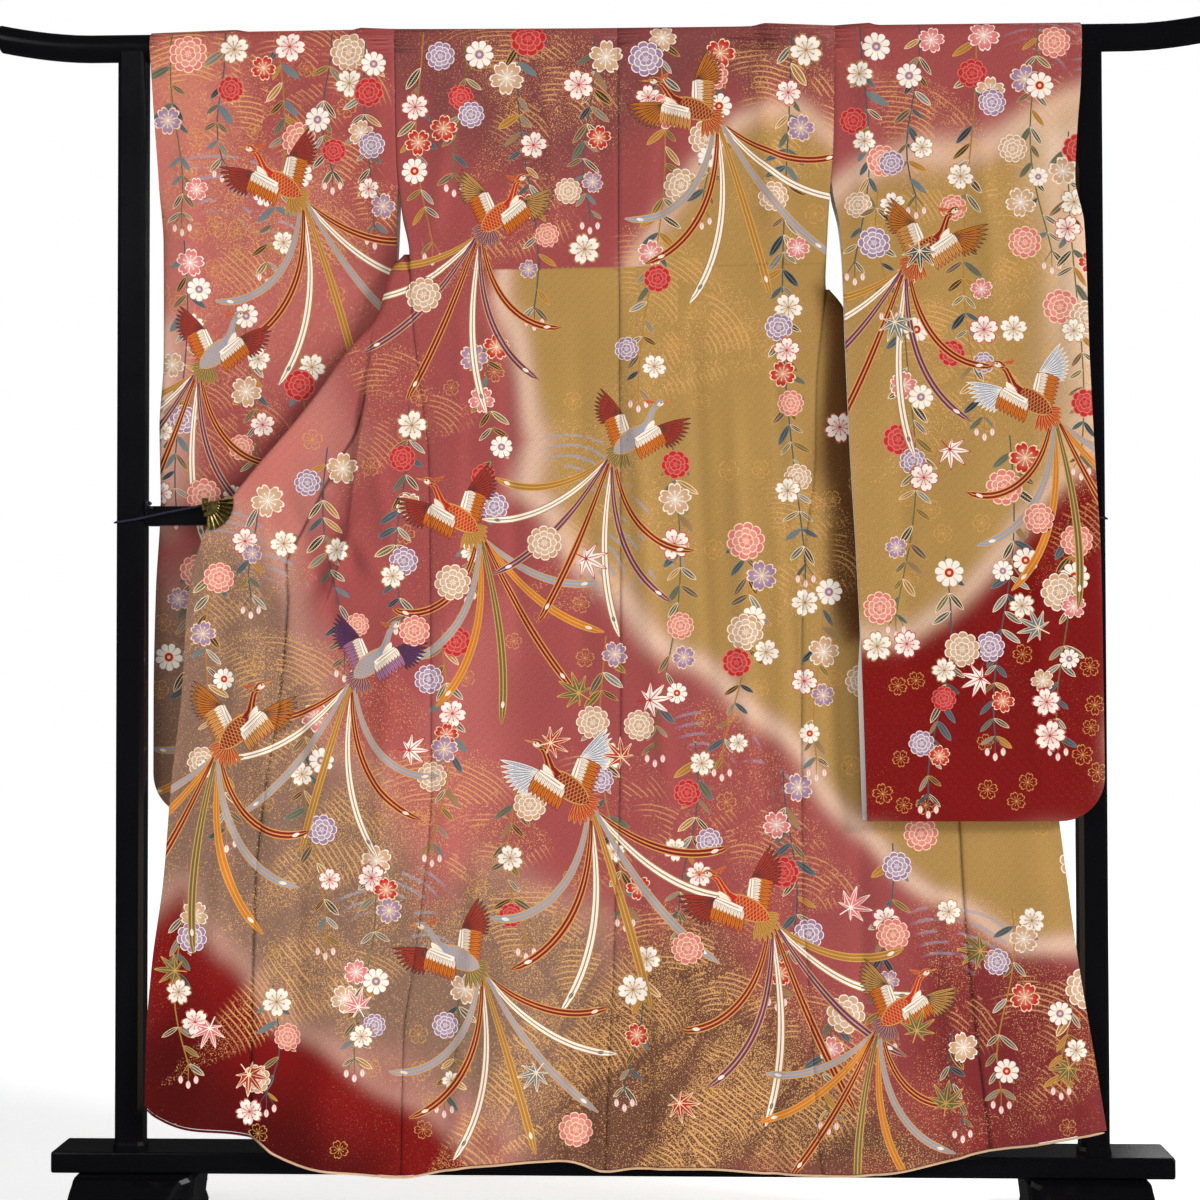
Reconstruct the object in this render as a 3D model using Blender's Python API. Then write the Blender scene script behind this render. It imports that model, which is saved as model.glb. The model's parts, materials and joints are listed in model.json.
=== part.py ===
"""A furisode kimono hung on a black lacquered display stand, shown from its back with both fronts opened.

All sizes are in millimetres until a mesh is made. X runs to the right, Y away from the viewer of the
back, Z up. The origin is on the floor under the middle of the stand.
"""

import math

import bmesh
import bpy
import numpy as np
from mathutils import Vector

MM = 0.001

# The stand
BAR_HEIGHT = 1700.0
BAR_RADIUS = 19.5
BAR_HALF_LENGTH = 876.0
BAR_BEND_START = 745.0
BAR_BEND_RISE = 16.0
POST_HALF_SPACING = 682.0
POST_HALF_WIDTH = 20.0
POST_HALF_DEPTH = 19.0
POST_CHAMFER = 6.0
POST_Y = -21.0
POST_TOP = BAR_HEIGHT - 8.0
PLANK_HALF_LENGTH = 791.0
PLANK_HALF_DEPTH = 45.0
PLANK_LOW = 91.0
PLANK_TOP = 121.0
RAIL_HEIGHT = 1024.0
RAIL_HALF = 14.0
SEAT_GAP = 0.3

# The cloth
WALL = 1.6
SEAM = 0.4
CLOTH_ON_BAR = BAR_RADIUS + 0.55 + WALL / 2

SLEEVE_JOIN = 1490.0
COLLAR_WIDTH = 52.0
NECK_HALF = 92.0
NECK_BAND = 28.0
HEM_ROLL = 2.2

# The clips and the cords that hold the fronts open
CLIP_HEIGHT = 1040.0
FAN_RADIUS = 38.0
FAN_RIBS = 9
CLIP_ROOM = 0.35
CORD_RADIUS = 1.5


def table(names, *rows):
    """A short table with named columns; the first column is the one it is read by."""
    columns = names.split()
    ordered = sorted(rows)
    made = {name: np.array([float(row[i]) for row in ordered]) for i, name in enumerate(columns)}
    made["key"] = columns[0]
    return made


def read(tab, name, value):
    """One column of a table at a value of its first column, along a smooth curve that never overshoots."""
    x = tab[tab["key"]]
    y = tab[name]
    step = np.diff(x)
    rise = np.diff(y) / step
    slope = np.zeros(len(x))
    for i in range(1, len(x) - 1):
        if rise[i - 1] * rise[i] > 0:
            a = 2 * step[i] + step[i - 1]
            b = step[i] + 2 * step[i - 1]
            slope[i] = (a + b) / (a / rise[i - 1] + b / rise[i])
    slope[0] = rise[0]
    slope[-1] = rise[-1]
    v = np.clip(np.asarray(value, float), x[0], x[-1])
    k = np.clip(np.searchsorted(x, v, side="right") - 1, 0, len(x) - 2)
    h = step[k]
    t = (v - x[k]) / h
    return (
        y[k] * (1 + 2 * t) * (1 - t) ** 2
        + h * slope[k] * t * (1 - t) ** 2
        + y[k + 1] * t * t * (3 - 2 * t)
        + h * slope[k + 1] * t * t * (t - 1)
    )


# Outline of the back: side seams, middle seam, and how far the cloth hangs in front of the posts
BACK = table(
    "z left middle right hang",
    (1700, -303, 16, 325, -20.6),
    (1540, -300, 17, 322, -21.5),
    (1450, -291, 17, 315, -22.5),
    (1400, -281, 17, 312, -23),
    (1320, -278, 18, 308, -23.5),
    (1200, -265, 18, 296, -24),
    (1100, -253, 19, 294, -25),
    (960, -251, 19, 278, -27),
    (830, -250, 19, 274, -29),
    (630, -249, 17, 273, -32),
    (485, -261, 11, 273, -35),
    (385, -274, 8, 279, -37),
    (290, -287, 3, 284, -39),
    (95, -291, -5, 298, -42),
)

# Height of the hem along its width
HEM = table(
    "x z",
    (-660, 198),
    (-637, 178),
    (-595, 162),
    (-505, 152),
    (-469, 126),
    (-419, 109),
    (-345, 99),
    (-291, 95),
    (-221, 107),
    (-132, 117),
    (-60, 119),
    (-5, 105),
    (40, 110),
    (130, 111),
    (223, 104),
    (298, 101),
    (385, 105),
    (447, 117),
    (528, 137),
    (596, 147),
    (700, 165),
)

# The opened part of each front, on the viewer's side: where the overlap is sewn on, the outer edge
# (a fold down to the clip and the free edge below it) and how far it hangs in front of the posts
OPENED_LEFT = table(
    "z overlap edge hang roll",
    (1400, -283, -285, -12, 0),
    (1376, -300, -307, -21, 1),
    (1340, -314, -318, -23, 1),
    (1312, -322, -325, -23.3, 1),
    (1294, -332, -338, -23.5, 1),
    (1258, -336, -370, -23.7, 1),
    (1200, -343, -411, -24, 1),
    (1151, -355, -450, -24.5, 1),
    (1091, -388, -501, -25, 1),
    (1028, -420, -551, -26, 1),
    (1004, -433, -570, -26.3, 0),
    (951, -456, -587, -27, 0),
    (898, -453, -597, -28, 0),
    (782, -462, -603, -30, 0),
    (643, -482, -618, -32, 0),
    (509, -497, -628, -34.5, 0),
    (384, -500, -644, -37, 0),
    (285, -502, -651, -39, 0),
    (150, -502, -653, -42, 0),
)
OPENED_RIGHT = table(
    "z overlap edge hang roll",
    (1345, 309.5, 312, -12, 0),
    (1318, 328, 334, -22, 1),
    (1294, 338, 345, -23.5, 1),
    (1258, 350, 370, -23.7, 1),
    (1200, 356, 411, -24, 1),
    (1151, 364, 450, -24.5, 1),
    (1091, 398, 501, -25, 1),
    (1028, 428, 551, -26, 1),
    (1004, 440, 570, -26.3, 0),
    (951, 456, 587, -27, 0),
    (857, 470, 605, -29, 0),
    (643, 490, 625, -32, 0),
    (509, 496, 641, -34.5, 0),
    (384, 504, 657, -37, 0),
    (285, 514, 673, -39, 0),
    (150, 530, 694, -42, 0),
)

# The part of each front that hangs behind the bar and is turned in behind the opened part: its outer
# edge (the side, then the fold), the overlap's seam, the collar's seam, and its depth
TURNED_LEFT = table(
    "z outer overlap collar depth",
    (1700, -303, -76, -76, 20.6),
    (1600, -301.2, -79, -80, 20.6),
    (1490, -296, -84, -92, 20.6),
    (1440, -289, -125, -103, 15),
    (1400, -283, -175, -120, 8),
    (1376, -306, -215, -132, 4),
    (1340, -318, -272, -154, -1),
    (1312, -325, -305, -172, -4),
    (1294, -338, -330, -184, -5.2),
    (1258, -370, -370, -211, -6),
    (1200, -411, -411, -268, -6.5),
    (1151, -450, -450, -334, -8),
    (1091, -501, -501, -424, -13),
    (1028, -551, -551, -516, -20),
)
TURNED_RIGHT = table(
    "z outer overlap collar depth",
    (1700, 325, 108, 108, 20.6),
    (1600, 323.4, 111, 112, 20.6),
    (1490, 318, 116, 124, 20.6),
    (1440, 314.5, 156, 135, 16),
    (1400, 312, 204, 150, 10),
    (1345, 312, 270, 180, 2),
    (1318, 334, 300, 198, -3.5),
    (1294, 345, 335, 214, -5.2),
    (1258, 370, 370, 238, -6),
    (1200, 411, 411, 290, -6.5),
    (1151, 450, 450, 350, -8),
    (1091, 501, 501, 430, -13),
    (1028, 551, 551, 516, -20),
)

# The sleeves: inner and outer edge, and the middle and half depth of the bag at both edges. The left
# one passes behind the rail, the right one hangs in front of everything
SLEEVE_LEFT = table(
    "z inner outer mid_in half_in mid_out half_out",
    (1700, -304.5, -655, 0, 20.6, 0, 20.6),
    (1600, -302, -649, 0, 20.8, 2, 20),
    (1490, -298, -642, 0.5, 21.5, 4, 17),
    (1430, -300, -640, 7, 16, 7, 14),
    (1380, -303, -640, 16, 8, 9, 11),
    (1250, -340, -641, 19, 6, 14, 7),
    (1150, -350, -648, 21, 5, 19, 5),
    (1050, -350, -647, 23, 4.5, 23, 4.5),
    (913, -350, -654, 24, 4, 24, 4),
    (760, -348, -657, 25, 4, 25, 4),
    (590, -344, -657, 25, 4, 25, 4),
)
SLEEVE_RIGHT = table(
    "z inner outer mid_in half_in mid_out half_out",
    (1700, 326.5, 673, 0, 20.6, 0, 20.6),
    (1640, 325.5, 671, 0, 20.6, -4, 18.2),
    (1560, 323.5, 664, -0.5, 21, -17, 10),
    (1490, 320, 660, -1, 21.5, -28, 4),
    (1430, 329, 671, -18, 13, -33, 4),
    (1376, 332, 673, -34, 5.5, -36, 4),
    (1250, 336, 676, -38, 5, -39, 4),
    (1100, 342, 682, -42, 4.5, -42, 4.5),
    (950, 350, 689, -45, 4.5, -45, 4.5),
    (830, 355, 690, -47, 4.5, -47, 4.5),
    (590, 362, 691, -50, 4.5, -50, 4.5),
)
SLEEVE_BOTTOM = 592.0
SLEEVE_CORNER = 62.0
CUFF_LOW = 1495.0

# The largest folds: a line from its upper to its lower end, its half width, and its height towards
# the viewer (a trough is negative)
FOLDS = table(
    "number x_up z_up x_low z_low half rise",
    (1, 47, 1372, 54, 740, 17, 4.5),
    (2, -32, 300, -32, 60, 16, -6),
    (3, 195, 800, 262, 380, 26, -5),
    (4, 312, 900, 330, 600, 14, -4),
    (5, -232, 1330, -228, 300, 15, 3.5),
    (6, 250, 1300, 246, 420, 15, 3.5),
    (7, -110, 700, -150, 90, 40, 5),
    (8, 120, 520, 150, 80, 42, 5),
    (9, -380, 520, -400, 90, 38, 5),
    (10, 400, 560, 420, 90, 38, 5),
    (11, -560, 860, -585, 150, 32, 4),
    (12, 590, 640, 640, 150, 32, 4),
)
SLEEVE_FOLDS = table(
    "number x_up z_up x_low z_low half rise",
    (1, 430, 1690, 452, 1180, 26, 3.5),
    (2, 590, 1640, 575, 900, 34, -3),
    (3, 500, 1200, 520, 640, 38, 3),
    (4, -420, 1690, -372, 1480, 22, 3.5),
    (5, -560, 1600, -545, 900, 40, -3),
)

# The pocket between the left front and its overlap: how far it lies back, along its open edge
POCKET = table(
    "z x depth",
    (1320, -330, 0),
    (1290, -332, 4),
    (1245, -337, 8),
    (1171, -347, 9),
    (1086, -358, 6),
    (1028, -364, 3.5),
    (940, -382, 4),
    (870, -410, 0),
)

# Rows of every wall: how far below the bar's middle they are, evenly stretched to the hem below the
# last upper one
UPPER_ROWS = (0, 55, 110, 165, 210, 250, 280, 305, 328, 355, 390)
LOWER_ROWS = (440, 495, 550, 605, 645, 672, 698, 750, 830, 930, 1040, 1150, 1260, 1370, 1480, 1605)
ARC_STEPS = 5


def clear_scene():
    for item in list(bpy.data.objects):
        bpy.data.objects.remove(item, do_unlink=True)


def lacquer(name, colour, roughness, metallic=0.0):
    made = bpy.data.materials.new(name)
    made.use_nodes = True
    shader = made.node_tree.nodes["Principled BSDF"]
    shader.inputs["Base Color"].default_value = (*colour, 1.0)
    shader.inputs["Roughness"].default_value = roughness
    shader.inputs["Metallic"].default_value = metallic
    return made


def add_object(name, mesh, material):
    made = bpy.data.objects.new(name, mesh)
    mesh.materials.append(material)
    bpy.context.scene.collection.objects.link(made)
    return made


def mesh_from(name, points, faces):
    """A closed mesh from points in millimetres, its faces turned outwards."""
    built = bmesh.new()
    verts = [built.verts.new(Vector(p) * MM) for p in points]
    for face in faces:
        built.faces.new([verts[i] for i in face])
    bmesh.ops.recalc_face_normals(built, faces=built.faces)
    mesh = bpy.data.meshes.new(name)
    built.to_mesh(mesh)
    built.free()
    return mesh


def wall(name, middle, material, thickness=WALL):
    """Closes a grid of middle points, rows by columns, into a wall with a rim."""
    rows, columns = middle.shape[:2]
    normal = np.cross(np.gradient(middle, axis=1), np.gradient(middle, axis=0))
    normal /= np.linalg.norm(normal, axis=2, keepdims=True)
    outer = (middle + normal * thickness / 2).reshape(-1, 3)
    inner = (middle - normal * thickness / 2).reshape(-1, 3)
    points = [tuple(p) for p in np.concatenate([outer, inner])]
    other = rows * columns
    faces = []
    for i in range(rows - 1):
        for j in range(columns - 1):
            a = i * columns + j
            b = a + columns
            faces.append((a, b, b + 1, a + 1))
            faces.append((other + a, other + a + 1, other + b + 1, other + b))
    loop = [j for j in range(columns)]
    loop += [i * columns + columns - 1 for i in range(1, rows)]
    loop += [(rows - 1) * columns + j for j in range(columns - 2, -1, -1)]
    loop += [i * columns for i in range(rows - 2, 0, -1)]
    for a, b in zip(loop, loop[1:] + loop[:1]):
        faces.append((a, b, other + b, other + a))
    add_object(name, mesh_from(name, points, faces), material)
    return middle[-1]


def fold_shape(folds, x, z):
    """How far soft folds push the cloth towards the viewer at a place."""
    total = np.zeros(np.broadcast(x, z).shape)
    for k in range(len(folds["number"])):
        up = (folds["x_up"][k], folds["z_up"][k])
        low = (folds["x_low"][k], folds["z_low"][k])
        along = (up[1] - z) / (up[1] - low[1])
        middle = up[0] + (low[0] - up[0]) * along
        fade = np.clip(along * 4, 0, 1) * np.clip((1 - along) * 4 + 0.9 * (low[1] < 200), 0, 1)
        fade = fade * fade * (3 - 2 * fade)
        total = total + folds["rise"][k] * fade * np.exp(-(((x - middle) / folds["half"][k]) ** 2))
    return total


def row_heights(hem):
    """Heights of the rows under the bar, for columns that end at the given hem heights."""
    upper = [BAR_HEIGHT - drop + 0 * hem for drop in UPPER_ROWS]
    last = UPPER_ROWS[-1]
    full = LOWER_ROWS[-1] - last
    lower = []
    for drop in LOWER_ROWS:
        share = (drop - last) / full
        lower.append(BAR_HEIGHT - last - share * (BAR_HEIGHT - last - hem))
    return np.array(upper + lower)


def over_bar(side, columns_x):
    """Rows of points from the top of the bar down to its middle, on the viewer's side (-1) or behind."""
    rows = []
    for k in range(ARC_STEPS):
        angle = (k + 0.02 * (k == 0)) / ARC_STEPS * math.pi / 2
        y = POST_Y + side * CLOTH_ON_BAR * math.sin(angle)
        z = BAR_HEIGHT + CLOTH_ON_BAR * math.cos(angle)
        rows.append([(x, y, z) for x in columns_x])
    return np.array(rows)


def back_panel(name, left, right, material, columns=10):
    """One half of the back, from the top of the bar to the hem."""
    share = np.linspace(0, 1, columns)
    ends = (BACK[left][0] + SEAM / 2, BACK[right][0] - SEAM / 2)
    hem = read(HEM, "z", ends[0] + (ends[1] - ends[0]) * share)
    z = row_heights(hem)
    x_left = read(BACK, left, z) + SEAM / 2
    x_right = read(BACK, right, z) - SEAM / 2
    x = x_left + (x_right - x_left) * share
    y = POST_Y + read(BACK, "hang", z) - fold_shape(FOLDS, x, z)
    body = np.stack([x, y, z], axis=2)
    top = over_bar(-1, x[0])
    return wall(name, np.concatenate([top, body]), material)


def columns_between(start, end, roll, columns):
    """Places from start to end of a row, the last few close together on the rolled edge."""
    sign = math.copysign(1.0, end - start)
    tail = [0.0, 0.14 * roll, 0.55 * roll, 1.2 * roll] if roll > 0.5 else [0.0, 1.0, 2.5, 5.0]
    width = abs(end - start)
    tail = [min(d, width * (k + 0.5) / 8) for k, d in zip(range(4), tail)]
    tail[0] = 0.0
    inner = np.linspace(0, width - tail[-1], columns - 3)
    places = list(inner) + [width - d for d in reversed(tail[:-1])]
    return start + sign * np.array(places)


def rolled(distance, roll):
    """How far a rolled edge of the given radius has turned back at a distance from the fold."""
    left = np.clip(1 - distance / np.maximum(roll, 1e-6), 0, 1)
    return roll * (1 - np.sqrt(np.clip(1 - left**2, 0, 1)))


def fold_radius(opened, turned, z):
    """Half the distance between the opened and the turned part where they meet in a rolled fold."""
    apart = read(turned, "depth", z) - read(opened, "hang", z)
    return np.maximum(apart / 2 - SEAM, 0.0) * read(opened, "roll", z)


def opened_panel(name, tab, turned, side, piece, material, columns=11):
    """The front proper, or its overlap, in the opened part that faces the viewer."""
    outwards = -1.0 if side == "left" else 1.0
    gap = outwards * SEAM / 2
    foot_seam = float(BACK[side][0])
    foot_overlap = float(tab["overlap"][0])
    foot_edge = float(tab["edge"][0])
    foot = (foot_seam, foot_overlap) if piece == "front" else (foot_overlap, foot_edge)
    hem = read(HEM, "z", np.linspace(foot[0], foot[1], columns))
    z = row_heights(hem)
    rows_x = []
    rows_z = []
    for i in range(len(z)):
        top = tab["z"][-1]
        level = z[i, 0]
        seam = float(read(BACK, side, level))
        overlap = float(read(tab, "overlap", level))
        edge = float(read(tab, "edge", z[i, -1]))
        roll = float(fold_radius(tab, turned, z[i, -1]))
        if piece == "front":
            overlap = float(read(tab, "overlap", z[i, -1]))
            if level > top + 1 or abs(overlap - seam) < 2.5:
                continue
            folds_here = abs(edge - overlap) < 8
            x = columns_between(seam + gap, overlap - gap, roll if folds_here else 0.0, columns)
        else:
            if level > top + 1 or abs(edge - overlap) < 8:
                continue
            x = columns_between(overlap + gap, edge, roll, columns)
        rows_x.append(x)
        rows_z.append(z[i])
    x = np.array(rows_x)
    z = np.array(rows_z)
    from_edge = (read(tab, "edge", z) - x) * outwards
    y = read(tab, "hang", z) - fold_shape(FOLDS, x, z) * np.clip(from_edge / 30, 0, 1)
    if side == "left":
        open_edge = read(POCKET, "x", z)
        depth = read(POCKET, "depth", z) * ((z < 1320) & (z > 870))
        beyond = np.clip((open_edge - x) / 14, 0, 1)
        easing = np.clip((x - read(tab, "edge", z)) / 70, 0, 1)
        y = y + depth * beyond * easing
    y = y + rolled(np.abs(read(tab, "edge", z) - x), fold_radius(tab, turned, z))
    return wall(name, np.stack([x, POST_Y + y, z], axis=2), material)


def turned_panel(name, tab, opened, piece, material, columns=9):
    """The front proper, its overlap or the collar, in the part that hangs behind the bar."""
    drops = [drop for drop in UPPER_ROWS + LOWER_ROWS if drop <= 672]
    sign = math.copysign(1.0, tab["outer"][0])
    gap = sign * SEAM / 2
    rows = []
    for drop in drops:
        under_neck = piece == "collar" and drop == 0
        level = BAR_HEIGHT - (NECK_BAND + SEAM if under_neck else drop)
        outer, overlap, collar = (float(read(tab, key, level)) for key in ("outer", "overlap", "collar"))
        overlap = sign * min(max(abs(overlap), abs(collar)), abs(outer))
        roll = float(fold_radius(opened, tab, level)) if level < opened["z"][-1] else 0.0
        if piece == "front":
            start, end = overlap + gap, outer
            if abs(start - end) < 14:
                continue
        elif piece == "overlap":
            start, end = collar + gap, overlap - (gap if abs(outer - overlap) > 1 else 0.0)
            if abs(start - end) < 8:
                continue
            roll = roll if abs(outer - overlap) < 1 else 0.0
        else:
            width = float(np.interp(level, (1028, 1091, 1200, 1700), (24, 36, COLLAR_WIDTH, COLLAR_WIDTH)))
            start, end = collar - sign * width, collar - 3 * gap
            roll = 0.0
        x = columns_between(start, end, roll, columns)
        y = float(read(tab, "depth", level)) - rolled(np.abs(outer - x), roll)
        if piece == "collar":
            y = y + 2.2 * (width / COLLAR_WIDTH) ** 2 * np.sin((x - x[0]) / (x[-1] - x[0]) * math.pi)
        rows.append(np.stack([x, POST_Y + y + 0 * x, level + 0 * x], axis=1))
    body = np.array(rows)
    if piece == "front":
        body = np.concatenate([over_bar(1, body[0, :, 0]), body])
    return wall(name, body, material)


def collar_neck(name, material, columns=7):
    """The collar's band behind the bar, across the neck."""
    middle = BACK["middle"][-1]
    x = np.linspace(middle - NECK_HALF + SEAM, middle + NECK_HALF - SEAM, columns)
    top = over_bar(1, x)
    rows = []
    for drop in (0, NECK_BAND / 2, NECK_BAND):
        bow = 3.0 * np.cos((x - middle) / NECK_HALF * math.pi / 2) * drop / NECK_BAND
        rows.append(np.stack([x, POST_Y + CLOTH_ON_BAR + bow, BAR_HEIGHT - drop + 0 * x], axis=1))
    return wall(name, np.concatenate([top, np.array(rows)]), material)


def sleeve_rows():
    """Heights of a sleeve's rows, the first ones level with the body's."""
    upper = [BAR_HEIGHT - drop for drop in UPPER_ROWS]
    lower = [1255, 1190, 1120, 1050, 980, 900, 820, 740, 690, 660, 635, 615, 600, SLEEVE_BOTTOM]
    return upper + lower


def sleeve_layer(name, sleeve, side, layer, material, columns=9):
    """One layer of a sleeve: layer is -1 for the back of the sleeve and +1 for its front."""
    outwards = -1.0 if side == "left" else 1.0
    share = np.linspace(0, 1, columns)
    share[-2] = 1 - 0.03
    share[-3] = 1 - 0.10
    rows = []
    for z in sleeve_rows():
        inner = float(read(sleeve, "inner", z))
        if z > SLEEVE_JOIN - 1:
            inner = float(read(BACK, side, z))
        outer = float(read(sleeve, "outer", z))
        if layer > 0 and z > CUFF_LOW - 1:
            outer = outwards * min(abs(outer), 656.0)
        if layer > 0 and side == "right":
            inner -= 6.0 * float(np.clip((850 - z) / 60, 0, 1))
        rise = z - SLEEVE_BOTTOM
        if rise < SLEEVE_CORNER:
            pull = SLEEVE_CORNER - math.sqrt(SLEEVE_CORNER**2 - (SLEEVE_CORNER - rise) ** 2)
            outer -= outwards * pull
        x = inner + outwards * SEAM / 2 + (outer - inner) * share
        mid = read(sleeve, "mid_in", z) * (1 - share) + read(sleeve, "mid_out", z) * share
        half = read(sleeve, "half_in", z) * (1 - share) + read(sleeve, "half_out", z) * share
        shut_side = np.clip((CUFF_LOW - z) / 70, 0, 1)
        from_edge = np.abs(outer - x) / 45
        from_bottom = rise / 45
        near = np.sqrt(np.clip(1 - (1 - np.clip(from_edge, 0, 1)) ** 2, 0, 1))
        low = math.sqrt(max(0.0, 1 - (1 - min(1.0, from_bottom)) ** 2))
        open_share = (1 - shut_side * (1 - near)) * low
        least = WALL / 2 + SEAM / 2
        half = least + (half - least) * open_share
        folds = fold_shape(SLEEVE_FOLDS, x, z + 0 * x) * np.clip((1695 - z) / 60, 0, 1)
        y = POST_Y + mid + layer * half - folds
        rows.append(np.stack([x, y, z + 0 * x], axis=1))
    body = np.array(rows)
    top = over_bar(layer, body[0, :, 0])
    return wall(name, np.concatenate([top, body]), material)


def tube(name, path, radius, material, sides=8):
    """A closed tube along a path of points in millimetres."""
    curve = bpy.data.curves.new(name, "CURVE")
    curve.dimensions = "3D"
    curve.bevel_depth = radius * MM
    curve.bevel_resolution = (sides - 4) // 2
    curve.use_fill_caps = True
    line = curve.splines.new("POLY")
    line.points.add(len(path) - 1)
    for point, place in zip(line.points, path):
        point.co = (place[0] * MM, place[1] * MM, place[2] * MM, 1.0)
    return add_object(name, curve, material)


def prism(name, outline, low, high, material, axis="y"):
    """An outline (across, up) pushed through from low to high along Y, or (x, y) along Z."""
    count = len(outline)
    if axis == "y":
        points = [(a, low, b) for a, b in outline] + [(a, high, b) for a, b in outline]
    else:
        points = [(a, b, low) for a, b in outline] + [(a, b, high) for a, b in outline]
    faces = [tuple(range(count)), tuple(range(2 * count - 1, count - 1, -1))]
    for i in range(count):
        j = (i + 1) % count
        faces.append((i, j, count + j, count + i))
    return add_object(name, mesh_from(name, points, faces), material)


def loft(name, sections, material):
    """Joins closed rings of points, one after the other, and caps both ends."""
    count = len(sections[0])
    points = [p for ring in sections for p in ring]
    faces = [tuple(range(count)), tuple(range(len(points) - count, len(points)))]
    for k in range(len(sections) - 1):
        for i in range(count):
            j = (i + 1) % count
            a = k * count
            faces.append((a + i, a + j, a + count + j, a + count + i))
    return add_object(name, mesh_from(name, points, faces), material)


def bar_rise(x):
    """How far the bar's ends curve upwards."""
    past = max(0.0, (abs(x) - BAR_BEND_START) / (BAR_HALF_LENGTH - BAR_BEND_START))
    return BAR_BEND_RISE * past**1.7


def top_bar(material):
    sides = 16
    stations = [BAR_HALF_LENGTH - d for d in (0, 2, 6, 26, 50, 75, 100, 131)] + [300.0]
    stations = stations + [-s for s in reversed(stations)]
    rings = []
    for x in stations:
        end = BAR_HALF_LENGTH - abs(x)
        radius = BAR_RADIUS - 4 * max(0.0, 1 - end / 6) ** 2
        lean = 0.22 * max(0.0, 1 - end / 50)
        ring = []
        for k in range(sides):
            a = 2 * math.pi * (k + 0.5) / sides
            up = radius * math.sin(a)
            shift = -math.copysign(up * lean, x)
            ring.append((x + shift, POST_Y + radius * math.cos(a), BAR_HEIGHT + bar_rise(x) + up))
        rings.append(ring)
    return loft("top_bar", rings, material)


def post(name, side, material):
    """A chamfered post with a flared foot and a hollowed top that carries the bar."""
    levels = [(PLANK_TOP + SEAT_GAP, 2.0), (PLANK_TOP + 8, 1.6), (PLANK_TOP + 13, 0.0), (POST_TOP, 0.0)]
    rings = []
    for z, grow in levels:
        w = POST_HALF_WIDTH + grow
        d = POST_HALF_DEPTH + grow
        c = POST_CHAMFER
        ring = [(w, c - d), (w, d - c), (w - c, d), (c - w, d)]
        ring += [(-w, d - c), (-w, c - d), (c - w, -d), (w - c, -d)]
        rings.append([(side * POST_HALF_SPACING + x, POST_Y + y, z) for x, y in ring])
    made = loft(name, rings, material)
    bpy.ops.mesh.primitive_cylinder_add(
        vertices=40,
        radius=(BAR_RADIUS + SEAT_GAP) * MM,
        depth=90 * MM,
        location=(side * POST_HALF_SPACING * MM, POST_Y * MM, BAR_HEIGHT * MM),
        rotation=(0, math.pi / 2, 0),
    )
    cutter = bpy.context.active_object
    cutter.name = name + "_cutter"
    cutter.hide_render = True
    cutter.display_type = "WIRE"
    seat = made.modifiers.new("seat", "BOOLEAN")
    seat.operation = "DIFFERENCE"
    seat.object = cutter
    return made


def bevelled_box(name, low, high, width, material):
    points = [(x, y, z) for x in (low[0], high[0]) for y in (low[1], high[1]) for z in (low[2], high[2])]
    faces = [(0, 1, 3, 2), (4, 6, 7, 5), (0, 4, 5, 1), (2, 3, 7, 6), (0, 2, 6, 4), (1, 5, 7, 3)]
    made = add_object(name, mesh_from(name, points, faces), material)
    edge = made.modifiers.new("edge", "BEVEL")
    edge.width = width * MM
    edge.segments = 2
    edge.limit_method = "ANGLE"
    return made


# Half of a foot, from its middle to its end: how wide it is outwards and inwards, and its height
FOOT = table(
    "y outer inner top",
    (0, 74, 98, 90.7),
    (46, 74, 98, 90.7),
    (58, 73, 94, 89),
    (66, 72, 84, 86),
    (78, 72, 78, 79),
    (100, 72, 72, 62),
    (130, 72, 70, 46),
    (165, 71, 69, 37),
    (182, 68, 66, 33),
    (190, 62, 60, 26),
)


def foot(name, side, material):
    """A low sled foot under one end of the plank, widened by an ogee where the plank rests."""
    rings = []
    for y in sorted({-v for v in FOOT["y"]} | set(FOOT["y"])):
        outer = float(read(FOOT, "outer", abs(y)))
        inner = float(read(FOOT, "inner", abs(y)))
        top = float(read(FOOT, "top", abs(y)))
        flare = min(10.0, top / 4)
        profile = [(-inner, top - 5), (5 - inner, top), (outer - 5, top), (outer, top - 5)]
        profile += [(outer + flare * 0.4, top / 2), (outer + flare, 0), (-inner - flare * 0.2, 0)]
        profile += [(flare * 0.5 - inner, top / 2)]
        rings.append([(side * (POST_HALF_SPACING + a), y, b) for a, b in profile])
    return loft(name, rings, material)


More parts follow.
